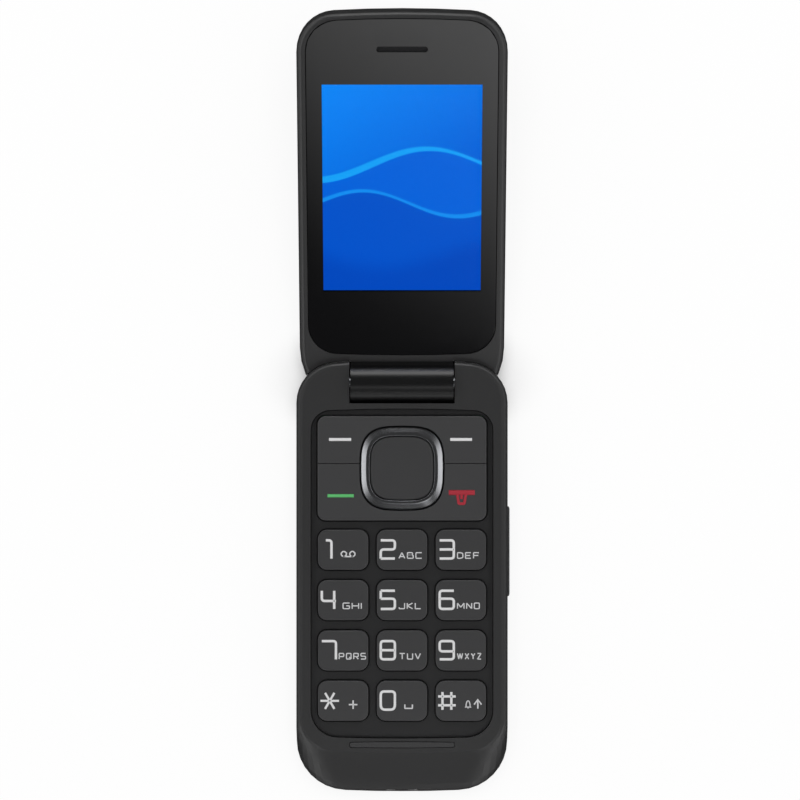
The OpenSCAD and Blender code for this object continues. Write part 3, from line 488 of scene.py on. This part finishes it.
@dataclass
class NumberKeys:
    """The twelve key caps: one cap, modelled once and copied to each node's place."""

    corner_mm: float = 2.2
    rim_mm: float = 0.32
    foot_mm: float = 0.45
    names: tuple[str, ...] = ("1", "2", "3", "4", "5", "6", "7", "8", "9", "star", "0", "hash")

    def build(self) -> None:
        """Models the cap and puts a copy in every key's place."""
        low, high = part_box("key_5")
        first = self.cap(low, high)
        for name in self.names:
            node = "key_" + name
            node_low, node_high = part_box(node)
            piece = bpy.data.objects.new(node + "_cap", first.data.copy())
            bpy.context.scene.collection.objects.link(piece)
            piece.location = (node_low + node_high) / 2 - (low + high) / 2
            set_down(piece)
            finish_piece(piece, node, KEY_GREY, [node])
        bpy.data.objects.remove(first)

    def cap(self, low: Vector, high: Vector) -> bpy.types.Object:
        """Models a cap with round corners and a rounded rim, narrower than the node by its foot.

        Args:
            low: The lowest corner of the node, foot and all.
            high: The highest corner of the node.

        Returns:
            The cap.
        """
        foot = self.foot_mm * MM
        size = high - low - Vector((2 * foot, 2 * foot, 0))
        deselect()
        bpy.ops.mesh.primitive_cube_add(size=1, location=(low + high) / 2)
        piece = bpy.context.active_object
        piece.name = "cap"
        piece.scale = size
        set_down(piece)
        bpy.ops.object.mode_set(mode="EDIT")
        bpy.ops.mesh.select_mode(type="EDGE")
        bpy.ops.mesh.select_all(action="DESELECT")
        mesh = bmesh.from_edit_mesh(piece.data)
        for edge in mesh.edges:
            a, b = edge.verts
            edge.select_set(abs(a.co.z - b.co.z) > size.z / 2)
        bmesh.update_edit_mesh(piece.data)
        bpy.ops.mesh.bevel(offset=self.corner_mm * MM, segments=8, affect="EDGES")
        self.select_level(piece, high.z)
        bpy.ops.mesh.bevel(offset=self.rim_mm * MM, segments=4, affect="EDGES")
        bpy.ops.object.mode_set(mode="OBJECT")
        smooth(piece, 50.0)
        modify(piece, "WEIGHTED_NORMAL", keep_sharp=True)
        return piece

    def select_level(self, piece: bpy.types.Object, height: float) -> None:
        """Selects the faces whose corners all lie at one height, in edit mode.

        Args:
            piece: The piece.
            height: The height, in metres.
        """
        bpy.ops.mesh.select_mode(type="FACE")
        bpy.ops.mesh.select_all(action="DESELECT")
        mesh = bmesh.from_edit_mesh(piece.data)
        for face in mesh.faces:
            face.select_set(all(abs(v.co.z - height) < 0.01 * MM for v in face.verts))
        bmesh.update_edit_mesh(piece.data)


def lid_point(x: float, along: float, up: float) -> Vector:
    """Places a point of the lid in the row's frame.

    Args:
        x: Millimetres to the right.
        along: Millimetres from the hinge axis along the lid.
        up: Millimetres over the hinge axis when the lid is closed.

    Returns:
        The point, in metres, with the lid open.
    """
    cos, sin = math.cos(OPEN_ANGLE), math.sin(OPEN_ANGLE)
    return Vector((x * MM, AXIS_Y - (along * cos - up * sin) * MM, AXIS_Z + (along * sin + up * cos) * MM))


@dataclass
class Screen:
    """The glossy lens, black round the picture and clear over it, and the lit picture behind it."""

    picture_w: float = 36.7
    near: float = 21.6
    far: float = 70.6
    picture_n: float = 3.87
    sky_low: str = "#0056d2"
    sky_high: str = "#0a86f8"
    hills: tuple[tuple[float, float, float, float, float, str], ...] = (
        (6.5, 3.6, 52.0, 0.9, 0.5, "#17a2f6"), (5.2, 3.8, 52.0, 0.8, 0.4, "#0462dc"),
        (-3.0, 3.0, 44.0, 2.9, 0.5, "#1590ee"), (-3.9, 3.1, 44.0, 2.85, 0.4, "#0453cb"),
        (-12.5, 3.4, 60.0, 5.2, 6.0, "#0349be"))

    def build(self) -> None:
        """Builds the lens and the picture."""
        self.lens()
        self.picture()

    def lens(self) -> None:
        """Copies the lens, cuts it along the picture's edges and makes the inside clear."""
        piece = copy_of("screen_lens", "screen_lens_glass", merge_flats=False)
        modify(piece, "BEVEL", width=0.15 * MM, segments=3, limit_method="ANGLE",
               angle_limit=math.radians(40))
        along = (lid_point(0, 1, 0) - lid_point(0, 0, 0)).normalized()
        half = self.picture_w / 2
        cuts = [(lid_point(half, 0, 0), (1, 0, 0)), (lid_point(-half, 0, 0), (1, 0, 0)),
                (lid_point(0, self.near, 0), along), (lid_point(0, self.far, 0), along)]
        only(piece)
        bpy.ops.object.mode_set(mode="EDIT")
        bpy.ops.mesh.select_mode(type="FACE")
        for place, normal in cuts:
            bpy.ops.mesh.select_all(action="SELECT")
            bpy.ops.mesh.bisect(plane_co=place, plane_no=normal)
        bpy.ops.object.mode_set(mode="OBJECT")
        smooth(piece, 50.0)
        modify(piece, "WEIGHTED_NORMAL", keep_sharp=True)
        finish_piece(piece, "lid", LENS_BLACK, ["screen_lens"])
        piece.data.materials.append(LENS_CLEAR.material())
        low, high = lid_point(-half, self.near, 0), lid_point(half, self.far, 0)
        for face in piece.data.polygons:
            inside = low.x < face.center.x < high.x
            reach = (face.center - lid_point(0, 0, 0)).dot(along) / MM
            face.material_index = int(inside and self.near < reach < self.far)

    def picture(self) -> None:
        """Adds the lit picture as a thin sheet on the display's face."""
        piece = new_plane("screen_picture", 1.0)
        bpy.ops.object.mode_set(mode="EDIT")
        bpy.ops.mesh.subdivide(number_cuts=3)
        bpy.ops.object.mode_set(mode="OBJECT")
        for vertex in piece.data.vertices:
            along = (self.near + self.far) / 2 + vertex.co.y * (self.far - self.near)
            vertex.co = lid_point(vertex.co.x * self.picture_w, along, self.picture_n)
        modify(piece, "SOLIDIFY", thickness=0.02 * MM, offset=-1.0)
        finish_piece(piece, "lid", DISPLAY_DARK)
        piece.data.materials.clear()
        piece.data.materials.append(self.glow())

    def glow(self) -> bpy.types.Material:
        """Makes the lit picture: a blue sky over layered blue hills, lighter towards the top left.

        Returns:
            The material.
        """
        made, tree = new_tree("lit display picture")
        place = add_node(tree, "TexCoord").outputs["Object"]
        across = add_node(tree, "SeparateXYZ", {0: place}).outputs["X"]
        middle = lid_point(0, (self.near + self.far) / 2, self.picture_n)
        along = (lid_point(0, 1, 0) - lid_point(0, 0, 0)).normalized()
        height = add_node(tree, "VectorMath", {0: place, 1: along}, operation="DOT_PRODUCT").outputs["Value"]
        height = add_node(tree, "Math", {0: height, 1: middle.dot(along)}, operation="SUBTRACT").outputs[0]
        slant = add_node(tree, "Math", {0: across, 1: -0.6, 2: height}, operation="MULTIPLY_ADD").outputs[0]
        fade = add_node(tree, "MapRange", {"Value": slant, "From Min": -0.012, "From Max": 0.034})
        tone = add_node(tree, "Mix", {"Factor": fade.outputs["Result"], 6: linear(self.sky_low),
                                      7: linear(self.sky_high)}, data_type="RGBA").outputs[2]
        for level, swing, width, shift, edge, colour in self.hills:
            turn = add_node(tree, "Math", {0: across, 1: 2 * math.pi / (width * MM), 2: shift},
                            operation="MULTIPLY_ADD").outputs[0]
            wave = add_node(tree, "Math", {0: turn}, operation="SINE").outputs[0]
            crest = add_node(tree, "Math", {0: wave, 1: swing * MM, 2: level * MM},
                             operation="MULTIPLY_ADD").outputs[0]
            under = add_node(tree, "Math", {0: crest, 1: height}, operation="SUBTRACT").outputs[0]
            cover = add_node(tree, "MapRange", {"Value": under, "From Max": edge * MM},
                             interpolation_type="SMOOTHSTEP")
            tone = add_node(tree, "Mix", {"Factor": cover.outputs["Result"], 6: tone, 7: linear(colour)},
                            data_type="RGBA").outputs[2]
        shader = add_node(tree, "BsdfPrincipled", {"Base Color": linear("#010203"), "Roughness": 0.4,
                                                   "Specular IOR Level": 0.0, "Emission Color": tone,
                                                   "Emission Strength": 1.0})
        add_node(tree, "OutputMaterial", {"Surface": shader.outputs["BSDF"]})
        return made


# Strokes of each sign on a grid of 16 by 16, "xy xy xy|xy xy", with g for 16; a bar starts a new stroke
SIGNS: dict[str, str] = {
    "1": "0g gg g0", "2": "0g gg g8 08 00|00 g0", "3": "0g gg g0 00|08 g8", "4": "0g 07 g7|eg e0",
    "5": "gg 0g|0g 09|09 g9 g0 00", "6": "gg 0g 00 g0 g9 09", "7": "0g gg g0",
    "8": "8g gg g0 00 0g 8g|08 g8", "9": "00 g0 gg 0g 07 g7", "0": "8g gg g0 00 0g 8g",
    "star": "08 g8|40 cg|4g c0", "hash": "4g 40|cg c0|0c gc|04 g4",
    "A": "00 8g|8g g0|35 d5", "B": "00 0g|0g eg e9 09|09 g9 g0 00", "C": "gg 0g 00 g0",
    "D": "00 0g|0g 9g ge g2 90 00", "E": "gg 0g|0g 00|00 g0|08 e8", "F": "gg 0g|0g 00|08 e8",
    "G": "gg 0g 00 g0 g8 88", "H": "00 0g|g0 gg|08 g8", "I": "00 0g", "J": "gg g0 00 04",
    "K": "00 0g|gg 08|08 g0", "L": "0g 00|00 g0", "M": "00 0g|0g 84|84 gg|gg g0", "N": "00 0g|0g g0|g0 gg",
    "O": "8g gg g0 00 0g 8g", "P": "00 0g|0g gg g7 07", "Q": "8g gg g0 00 0g 8g|a6 g0",
    "R": "00 0g|0g gg g7 07|87 g0", "S": "gg 0g 08 g8 g0 00", "T": "0g gg|8g 80", "U": "0g 00 g0 gg",
    "V": "0g 80|80 gg", "W": "0g 40|40 8g|8g c0|c0 gg", "X": "00 gg|0g g0", "Y": "0g 88|88 gg|88 80",
    "Z": "0g gg|gg 00|00 g0", "tape": "20 40 65 6b 4g 2g 0b 05 20|c0 e0 g5 gb eg cg ab a5 c0|20 e0",
    "plus": "08 g8|8g 80", "space": "0g 00 g0 gg", "shift": "80 8e|07 8g g7",
    "bell": "02 g2|32 38 6e ae d8 d2|70 90",
}


# How wide a sign is beside the others of its row
SIGN_WIDTHS: dict[str, float] = {"I": 0.0, "M": 1.3, "W": 1.45}


@dataclass(frozen=True)
class Print:
    """One row of signs that is printed on a number key, placed from the key's centre in millimetres."""

    signs: tuple[str, ...]
    left: float
    low: float
    width: float
    height: float
    stroke: float
    corner: float
    gap: float = 0.42

    def places(self, centre: Vector) -> list[tuple[float, float, float, float, str]]:
        """Spreads the signs over the row's width.

        Args:
            centre: The key's centre in millimetres.

        Returns:
            Left, low, width, height and name of each sign.
        """
        shares = [SIGN_WIDTHS.get(sign, 1.0) for sign in self.signs]
        each = (self.width - self.gap * (len(self.signs) - 1) - self.stroke) / max(sum(shares), 1.0)
        at = centre.x + self.left + self.stroke / 2
        placed = []
        for sign, share in zip(self.signs, shares):
            placed.append((at, centre.y + self.low + self.stroke / 2, each * share,
                           self.height - self.stroke, sign))
            at += each * share + self.gap
        return placed


def digit(sign: str, left: float = -5.3, width: float = 3.95, corner: float = 0.72) -> Print:
    """Gives the print of a key's number."""
    return Print((sign,), left, -2.36, width, 4.9, 0.64, corner)


def letters(signs: str, left: float, width: float) -> Print:
    """Gives the print of a key's letters."""
    return Print(tuple(signs), left, -2.12, width, 1.6, 0.28, 0.24, 0.62)


@dataclass
class Legends:
    """The printed signs on the number keys and the marks on the two bars."""

    prints: dict[str, tuple[Print, ...]] = field(default_factory=lambda: {
        "1": (digit("1", -4.35, 1.95), Print(("tape",), -0.6, -1.75, 3.55, 1.55, 0.34, 0.2)),
        "2": (digit("2"), letters("ABC", -0.85, 5.6)), "3": (digit("3"), letters("DEF", -0.95, 5.3)),
        "4": (digit("4"), letters("GHI", -0.15, 4.55)), "5": (digit("5"), letters("JKL", -0.8, 5.3)),
        "6": (digit("6"), letters("MNO", -0.95, 5.4)), "7": (digit("7"), letters("PQRS", -1.05, 6.45)),
        "8": (digit("8"), letters("TUV", -0.7, 5.15)), "9": (digit("9"), letters("WXYZ", -0.95, 5.8)),
        "star": (Print(("star",), -5.58, -2.12, 4.9, 4.3, 0.55, 0.0),
                 Print(("plus",), 1.17, -2.03, 2.36, 2.36, 0.36, 0.0)),
        "0": (digit("0", corner=1.1), Print(("space",), 0.5, -1.9, 2.1, 1.25, 0.33, 0.1)),
        "hash": (Print(("hash",), -5.66, -2.36, 4.75, 4.77, 0.62, 0.0),
                 Print(("bell",), 0.8, -1.8, 1.75, 2.2, 0.26, 0.3),
                 Print(("shift",), 2.9, -1.95, 2.1, 2.5, 0.38, 0.0))})

    def build(self) -> None:
        """Prints every key's signs, then the marks on the bars."""
        for key, rows in self.prints.items():
            node = "key_" + key
            low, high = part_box(node)
            for number, row in enumerate(rows):
                ink = self.ink(f"{node}_print_{number + 1}", row.places((low + high) / 2 / MM), row.stroke,
                               row.corner)
                finish_piece(ink, node, INK_FAINT if number else INK_WHITE)
        self.marks()

    def marks(self) -> None:
        """Prints the dashes on the soft keys and the call and end marks."""
        self.mark("soft_key_left_mark", "soft_key_bar", [(-17.1, 32.05, 5.2)], 0.75, INK_WHITE)
        self.mark("soft_key_right_mark", "soft_key_bar", [(11.3, 32.05, 5.1)], 0.75, INK_WHITE)
        self.mark("call_mark", "call_key_bar", [(-17.45, 18.87, 6.15)], 0.8, INK_GREEN)
        self.mark("end_mark", "call_key_bar", [(10.95, 19.6, 6.1)], 1.25, INK_RED)
        stem = [[(12.95, 19.3), (13.3, 17.0), (14.6, 17.0), (14.95, 19.3)], [(13.95, 19.2), (13.95, 18.1)]]
        piece = self.strokes("end_mark_stem", stem, 0.7, 0.3)
        finish_piece(piece, "call_key_bar", INK_RED)

    def mark(self, name: str, body: str, dashes: list[tuple[float, float, float]], stroke: float,
             finish: Finish) -> None:
        """Prints straight dashes on a bar.

        Args:
            name: The piece's name.
            body: The bar's body.
            dashes: Left end, height along the phone and length of each, in millimetres.
            stroke: How thick the dashes are.
            finish: The ink.
        """
        lines = [[(x, y), (x + length, y)] for x, y, length in dashes]
        finish_piece(self.strokes(name, lines, stroke, 0.0), body, finish)

    def ink(self, name: str, signs: list[tuple[float, float, float, float, str]], stroke: float,
            corner: float) -> bpy.types.Object:
        """Prints signs from the table of strokes.

        Args:
            name: The piece's name.
            signs: Left, low, width, height and name of each sign, in millimetres.
            stroke: How thick the strokes are.
            corner: Radius of the strokes' round corners.

        Returns:
            The print as one piece.
        """
        lines = []
        for left, low, width, height, sign in signs:
            for stroke_text in SIGNS[sign].split("|"):
                lines.append([(left + int(xy[0], 17) / 16 * width, low + int(xy[1], 17) / 16 * height)
                              for xy in stroke_text.split()])
        return self.strokes(name, lines, stroke, corner)

    def strokes(self, name: str, lines: list[list[tuple[float, float]]], stroke: float,
                corner: float) -> bpy.types.Object:
        """Turns lines into flat ink on the key tops.

        Args:
            name: The piece's name.
            lines: The points of each line, in millimetres.
            stroke: How thick the ink lines are.
            corner: Radius of their round corners.

        Returns:
            The ink as a mesh.
        """
        curve = bpy.data.curves.new(name, "CURVE")
        curve.dimensions = "3D"
        curve.bevel_depth = stroke / 2 * MM
        curve.bevel_resolution = 1
        curve.use_fill_caps = True
        for line in lines:
            points = self.rounded(line, corner)
            spline = curve.splines.new("POLY")
            spline.points.add(len(points) - 1)
            for point, (x, y) in zip(spline.points, points):
                point.co = (x * MM, y * MM, 0.0, 1.0)
        piece = bpy.data.objects.new(name, curve)
        bpy.context.scene.collection.objects.link(piece)
        only(piece)
        bpy.ops.object.convert(target="MESH")
        piece = bpy.context.active_object
        piece.scale.z = INK / (stroke / 2 * MM)
        piece.location.z = KEY_TOP
        set_down(piece)
        return piece

    def rounded(self, line: list[tuple[float, float]], corner: float) -> list[tuple[float, float]]:
        """Rounds the corners of a line.

        Args:
            line: Its points.
            corner: The radius, or 0 to leave it as it is.

        Returns:
            The points of the rounded line.
        """
        steps = 6
        points = [Vector(p) for p in line]
        made = [points[0]]
        for before, here, after in zip(points, points[1:], points[2:]):
            back, on = before - here, after - here
            if corner <= 0 or back.angle(on, math.pi) > math.radians(175):
                made.append(here)
                continue
            cut = min(corner, 0.5 * back.length, 0.5 * on.length)
            start, end = here + back.normalized() * cut, here + on.normalized() * cut
            for i in range(steps + 1):
                t = i / steps
                made.append((1 - t) ** 2 * start + 2 * t * (1 - t) * here + t * t * end)
        made.append(points[-1])
        return [(p.x, p.y) for p in made]


@dataclass
class InnerParts:
    """The nodes inside the phone, which keep their meshes and get their finishes."""

    def build(self) -> None:
        """Gives each node that still shows its own material."""
        for node, piece in frame["nodes"].items():
            finish = NODE_FINISHES.get(node, KEY_GREY)
            piece.data.materials.clear()
            piece.data.materials.append(finish.material())
            log.info("%s: %s", node, finish.name)


@dataclass
class Studio:
    """The floor, the lamps, the cards that gloss reflects, and the camera."""

    floor_size: float = 4.0
    camera_height: float = 0.655
    camera_x: float = -0.00047
    camera_y: float = 0.0413
    lens_mm: float = 123.75
    roof_size: float = 8.0
    roof_height: float = 1.0
    flag_size: float = 0.6
    card_light: float = 2.6
    cloth_light: float = 0.08
    front_light: float = 1.9
    back_light: float = 4.2
    side_light: float = 2.2
    low_light: float = 0.15
    floor_share: float = 0.86
    world_light: float = 0.55
    # Half sizes, across and along the phone, of the soft ellipse of painted shade round the hinge
    shade: tuple[float, float] = (22 * MM, 10 * MM)
    card_place: tuple[float, float, float] = (0.0, -0.0765, 0.07)
    card_size: tuple[float, float] = (0.09, 0.021)
    card_fade: tuple[float, float] = (-0.087, -0.07)

    def build(self) -> None:
        """Sets the whole stage up."""
        bpy.context.scene.view_settings.view_transform = "Standard"
        self.floor()
        self.world()
        self.ceiling()
        self.flag()
        self.chin_card()
        self.lamps()
        self.camera()

    def floor(self) -> None:
        """Adds the white floor, which keeps the phone's soft shadow, with painted shade round the hinge."""
        floor = new_plane("floor", self.floor_size, (0, 0, -0.02 * MM))
        made, tree = new_tree("white paper sweep")
        share = add_node(tree, "Math", {0: self.seen(tree), 1: self.floor_share}, operation="MULTIPLY")
        # Painted shade: the glow fades out round the hinge, leaving a darker patch on the paper
        share = add_node(tree, "Math", {0: share.outputs[0], 1: self.painted_hinge_shade(tree)},
                         operation="MULTIPLY")
        paper = add_node(tree, "BsdfDiffuse", {"Color": linear("#fbfbfb")})
        glow = add_node(tree, "Emission", {"Color": linear("#ffffff"), "Strength": 1.0})
        both = add_node(tree, "MixShader", {0: share.outputs[0], 1: paper.outputs[0], 2: glow.outputs[0]})
        add_node(tree, "OutputMaterial", {"Surface": both.outputs[0]})
        floor.data.materials.append(made)

    def seen(self, tree: bpy.types.NodeTree) -> bpy.types.NodeSocket:
        """Tells the rays that show the backdrop from those that light the phone.

        Args:
            tree: The node tree.

        Returns:
            1 for camera, glossy and transmission rays, and 0 for others.
        """
        rays = add_node(tree, "LightPath").outputs
        seen = add_node(tree, "Math", {0: rays["Is Camera Ray"], 1: rays["Is Glossy Ray"]},
                        operation="MAXIMUM").outputs[0]
        return add_node(tree, "Math", {0: seen, 1: rays["Is Transmission Ray"]},
                        operation="MAXIMUM").outputs[0]

    def painted_hinge_shade(self, tree: bpy.types.NodeTree) -> bpy.types.NodeSocket:
        """Gives 0 round the hinge and 1 further off. There the paper shows only the light that reaches it,
        which paints a patch of shade beside the hinge.

        Args:
            tree: The floor's node tree.

        Returns:
            The factor.
        """
        # Painted shade: the glow is turned off in a soft ellipse that reaches past the phone's sides, so the
        # paper there reads darker, like a shadow
        place = add_node(tree, "TexCoord").outputs["Object"]
        away = add_node(tree, "VectorMath", {0: place, 1: (0.0, AXIS_Y + 1 * MM, 0.0)}, operation="SUBTRACT")
        spread = (1 / self.shade[0], 1 / self.shade[1], 0.0)
        away = add_node(tree, "VectorMath", {0: away.outputs[0], 1: spread}, operation="MULTIPLY")
        away = add_node(tree, "VectorMath", {0: away.outputs[0]}, operation="LENGTH").outputs["Value"]
        return self.ramp(tree, away, 0.8, 1.7, 1.0)

    def world(self) -> None:
        """Lights the scene evenly, and shows white where the floor ends."""
        world = bpy.data.worlds.new("studio")
        bpy.context.scene.world = world
        world.use_nodes = True
        tree = world.node_tree
        tree.nodes.clear()
        strength = add_node(tree, "MapRange", {"Value": self.seen(tree), "To Min": self.world_light,
                                               "To Max": 1.0})
        sky = add_node(tree, "Background", {"Color": linear("#ffffff"),
                                            "Strength": strength.outputs["Result"]})
        add_node(tree, "OutputWorld", {"Surface": sky.outputs[0]})

    def ceiling(self) -> None:
        """Hangs the dark roof with the softboxes that only gloss shows."""
        roof = new_plane("softbox_roof", self.roof_size, (0, 0, self.roof_height))
        made, tree = new_tree("softboxes on black cloth")
        place = add_node(tree, "TexCoord").outputs["Object"]
        axes = add_node(tree, "SeparateXYZ", {0: place}).outputs
        slant = add_node(tree, "VectorMath", {0: place, 1: (0.64, 0.77, 0.0)}, operation="DOT_PRODUCT")
        front = self.ramp(tree, slant.outputs["Value"], -0.52, -0.22, self.front_light)
        close = self.ramp(tree, axes["Y"], -0.33, -0.40, 1.0)
        front = add_node(tree, "Math", {0: front, 1: close}, operation="MULTIPLY").outputs[0]
        across = add_node(tree, "Math", {0: axes["X"]}, operation="ABSOLUTE").outputs[0]
        narrow = self.ramp(tree, across, 0.5, 0.3, 1.0)
        back = self.strip(tree, axes["Y"], 1.3, 3.4, 0.1, self.back_light)
        low = self.strip(tree, axes["Y"], -1.7, -1.1, 0.12, self.low_light)
        total = self.strip(tree, across, 0.85, 1.6, 0.15, self.side_light)
        total = add_node(tree, "Math", {0: total, 1: self.cloth_light}, operation="ADD").outputs[0]
        for part in (front, back, low):
            total = add_node(tree, "Math", {0: part, 1: narrow, 2: total},
                             operation="MULTIPLY_ADD").outputs[0]
        glow = add_node(tree, "Emission", {"Color": linear("#ffffff"), "Strength": total})
        add_node(tree, "OutputMaterial", {"Surface": glow.outputs[0]})
        self.only_gloss(roof, made, True)

    def flag(self) -> None:
        """Lays black cloth round the phone, which only gloss shows, so that its edges read dark."""
        flag = new_plane("black_flag", self.flag_size, (0, AXIS_Y, 0.05 * MM))
        made, tree = new_tree("black cloth")
        weave = add_node(tree, "TexNoise", {"Vector": add_node(tree, "TexCoord").outputs["Object"],
                                            "Scale": per_metre(2.0)}).outputs["Fac"]
        level = add_node(tree, "MapRange", {"Value": weave, "To Min": 0.02, "To Max": 0.05})
        glow = add_node(tree, "Emission", {"Strength": level.outputs["Result"]})
        add_node(tree, "OutputMaterial", {"Surface": glow.outputs[0]})
        self.only_gloss(flag, made, False)

    def chin_card(self) -> None:
        """Hangs a small lit card close over the chin, whose slope shows it, as gloss alone does."""
        card = new_plane("chin_card", 1.0, self.card_place)
        card.scale = (*self.card_size, 1.0)
        set_down(card)
        made, tree = new_tree("lit white card")
        place = add_node(tree, "TexCoord").outputs["Object"]
        fade = self.ramp(tree, add_node(tree, "SeparateXYZ", {0: place}).outputs["Y"], *self.card_fade,
                         self.card_light)
        glow = add_node(tree, "Emission", {"Strength": fade})
        add_node(tree, "OutputMaterial", {"Surface": glow.outputs[0]})
        self.only_gloss(card, made, False)

    def only_gloss(self, card: bpy.types.Object, made: bpy.types.Material, through: bool) -> None:
        """Dresses a card of the stage and hides it from all but reflections.

        Args:
            card: The card.
            made: Its material.
            through: Whether clear plastic shows it too.
        """
        card.data.materials.append(made)
        card.visible_camera = False
        card.visible_diffuse = False
        card.visible_transmission = through
        card.visible_shadow = False

    def ramp(self, tree: bpy.types.NodeTree, value: bpy.types.NodeSocket, start: float, end: float,
             top: float) -> bpy.types.NodeSocket:
        """Rises smoothly from 0 to a level between two values.

        Args:
            tree: The node tree.
            value: What the ramp depends on.
            start: Where it starts to rise.
            end: Where it reaches the level.
            top: The level.

        Returns:
            The ramp's level.
        """
        made = add_node(tree, "MapRange", {"Value": value, "From Min": start, "From Max": end, "To Max": top},
                        interpolation_type="SMOOTHSTEP")
        return made.outputs["Result"]

    def strip(self, tree: bpy.types.NodeTree, value: bpy.types.NodeSocket, start: float, end: float,
              soft: float, top: float) -> bpy.types.NodeSocket:
        """Gives a level between two values and 0 outside, with soft edges.

        Args:
            tree: The node tree.
            value: What the strip depends on.
            start: Where the strip begins.
            end: Where it ends.
            soft: How wide its edges are.
            top: Its level.

        Returns:
            The strip's level.
        """
        rise = self.ramp(tree, value, start - soft, start + soft, top)
        fall = self.ramp(tree, value, end + soft, end - soft, 1.0)
        return add_node(tree, "Math", {0: rise, 1: fall}, operation="MULTIPLY").outputs[0]

    def lamps(self) -> None:
        """Adds one broad lamp overhead, which gloss doesn't show."""
        self.lamp("overhead", (0.0, 0.3, 1.3), (0.9, 0.9), 9.0, glossy=False)

    def lamp(self, name: str, place: tuple[float, float, float], size: tuple[float, float],
             watts: float, glossy: bool) -> None:
        """Adds one area lamp that faces the phone.

        Args:
            name: The lamp's name.
            place: Where it hangs.
            size: Its width and height.
            watts: Its power.
            glossy: Whether gloss shows it.
        """
        data = bpy.data.lights.new(name, "AREA")
        data.shape = "RECTANGLE"
        data.size, data.size_y = size
        data.energy = watts
        lamp = bpy.data.objects.new(name, data)
        lamp.location = place
        lamp.rotation_euler = (Vector((0, 0.03, 0.01)) - Vector(place)).to_track_quat("-Z", "Y").to_euler()
        lamp.visible_glossy = glossy
        bpy.context.scene.collection.objects.link(lamp)

    def camera(self) -> None:
        """Adds the camera, which looks straight down on the base."""
        data = bpy.data.cameras.new("camera")
        data.lens = self.lens_mm
        data.sensor_width = 36.0
        data.clip_start, data.clip_end = 0.01, 20.0
        camera = bpy.data.objects.new("camera", data)
        camera.location = (self.camera_x, self.camera_y, self.camera_height)
        bpy.context.scene.collection.objects.link(camera)
        bpy.context.scene.camera = camera


def main() -> None:
    """Builds the phone's looks and the studio, in order."""
    logging.basicConfig(level=logging.INFO, format="%(name)s: %(message)s")
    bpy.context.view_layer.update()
    InnerParts().build()
    Shells().build()
    FunctionKeys().build()
    NumberKeys().build()
    Legends().build()
    Screen().build()
    Studio().build()


if __name__ == "__main__":
    main()
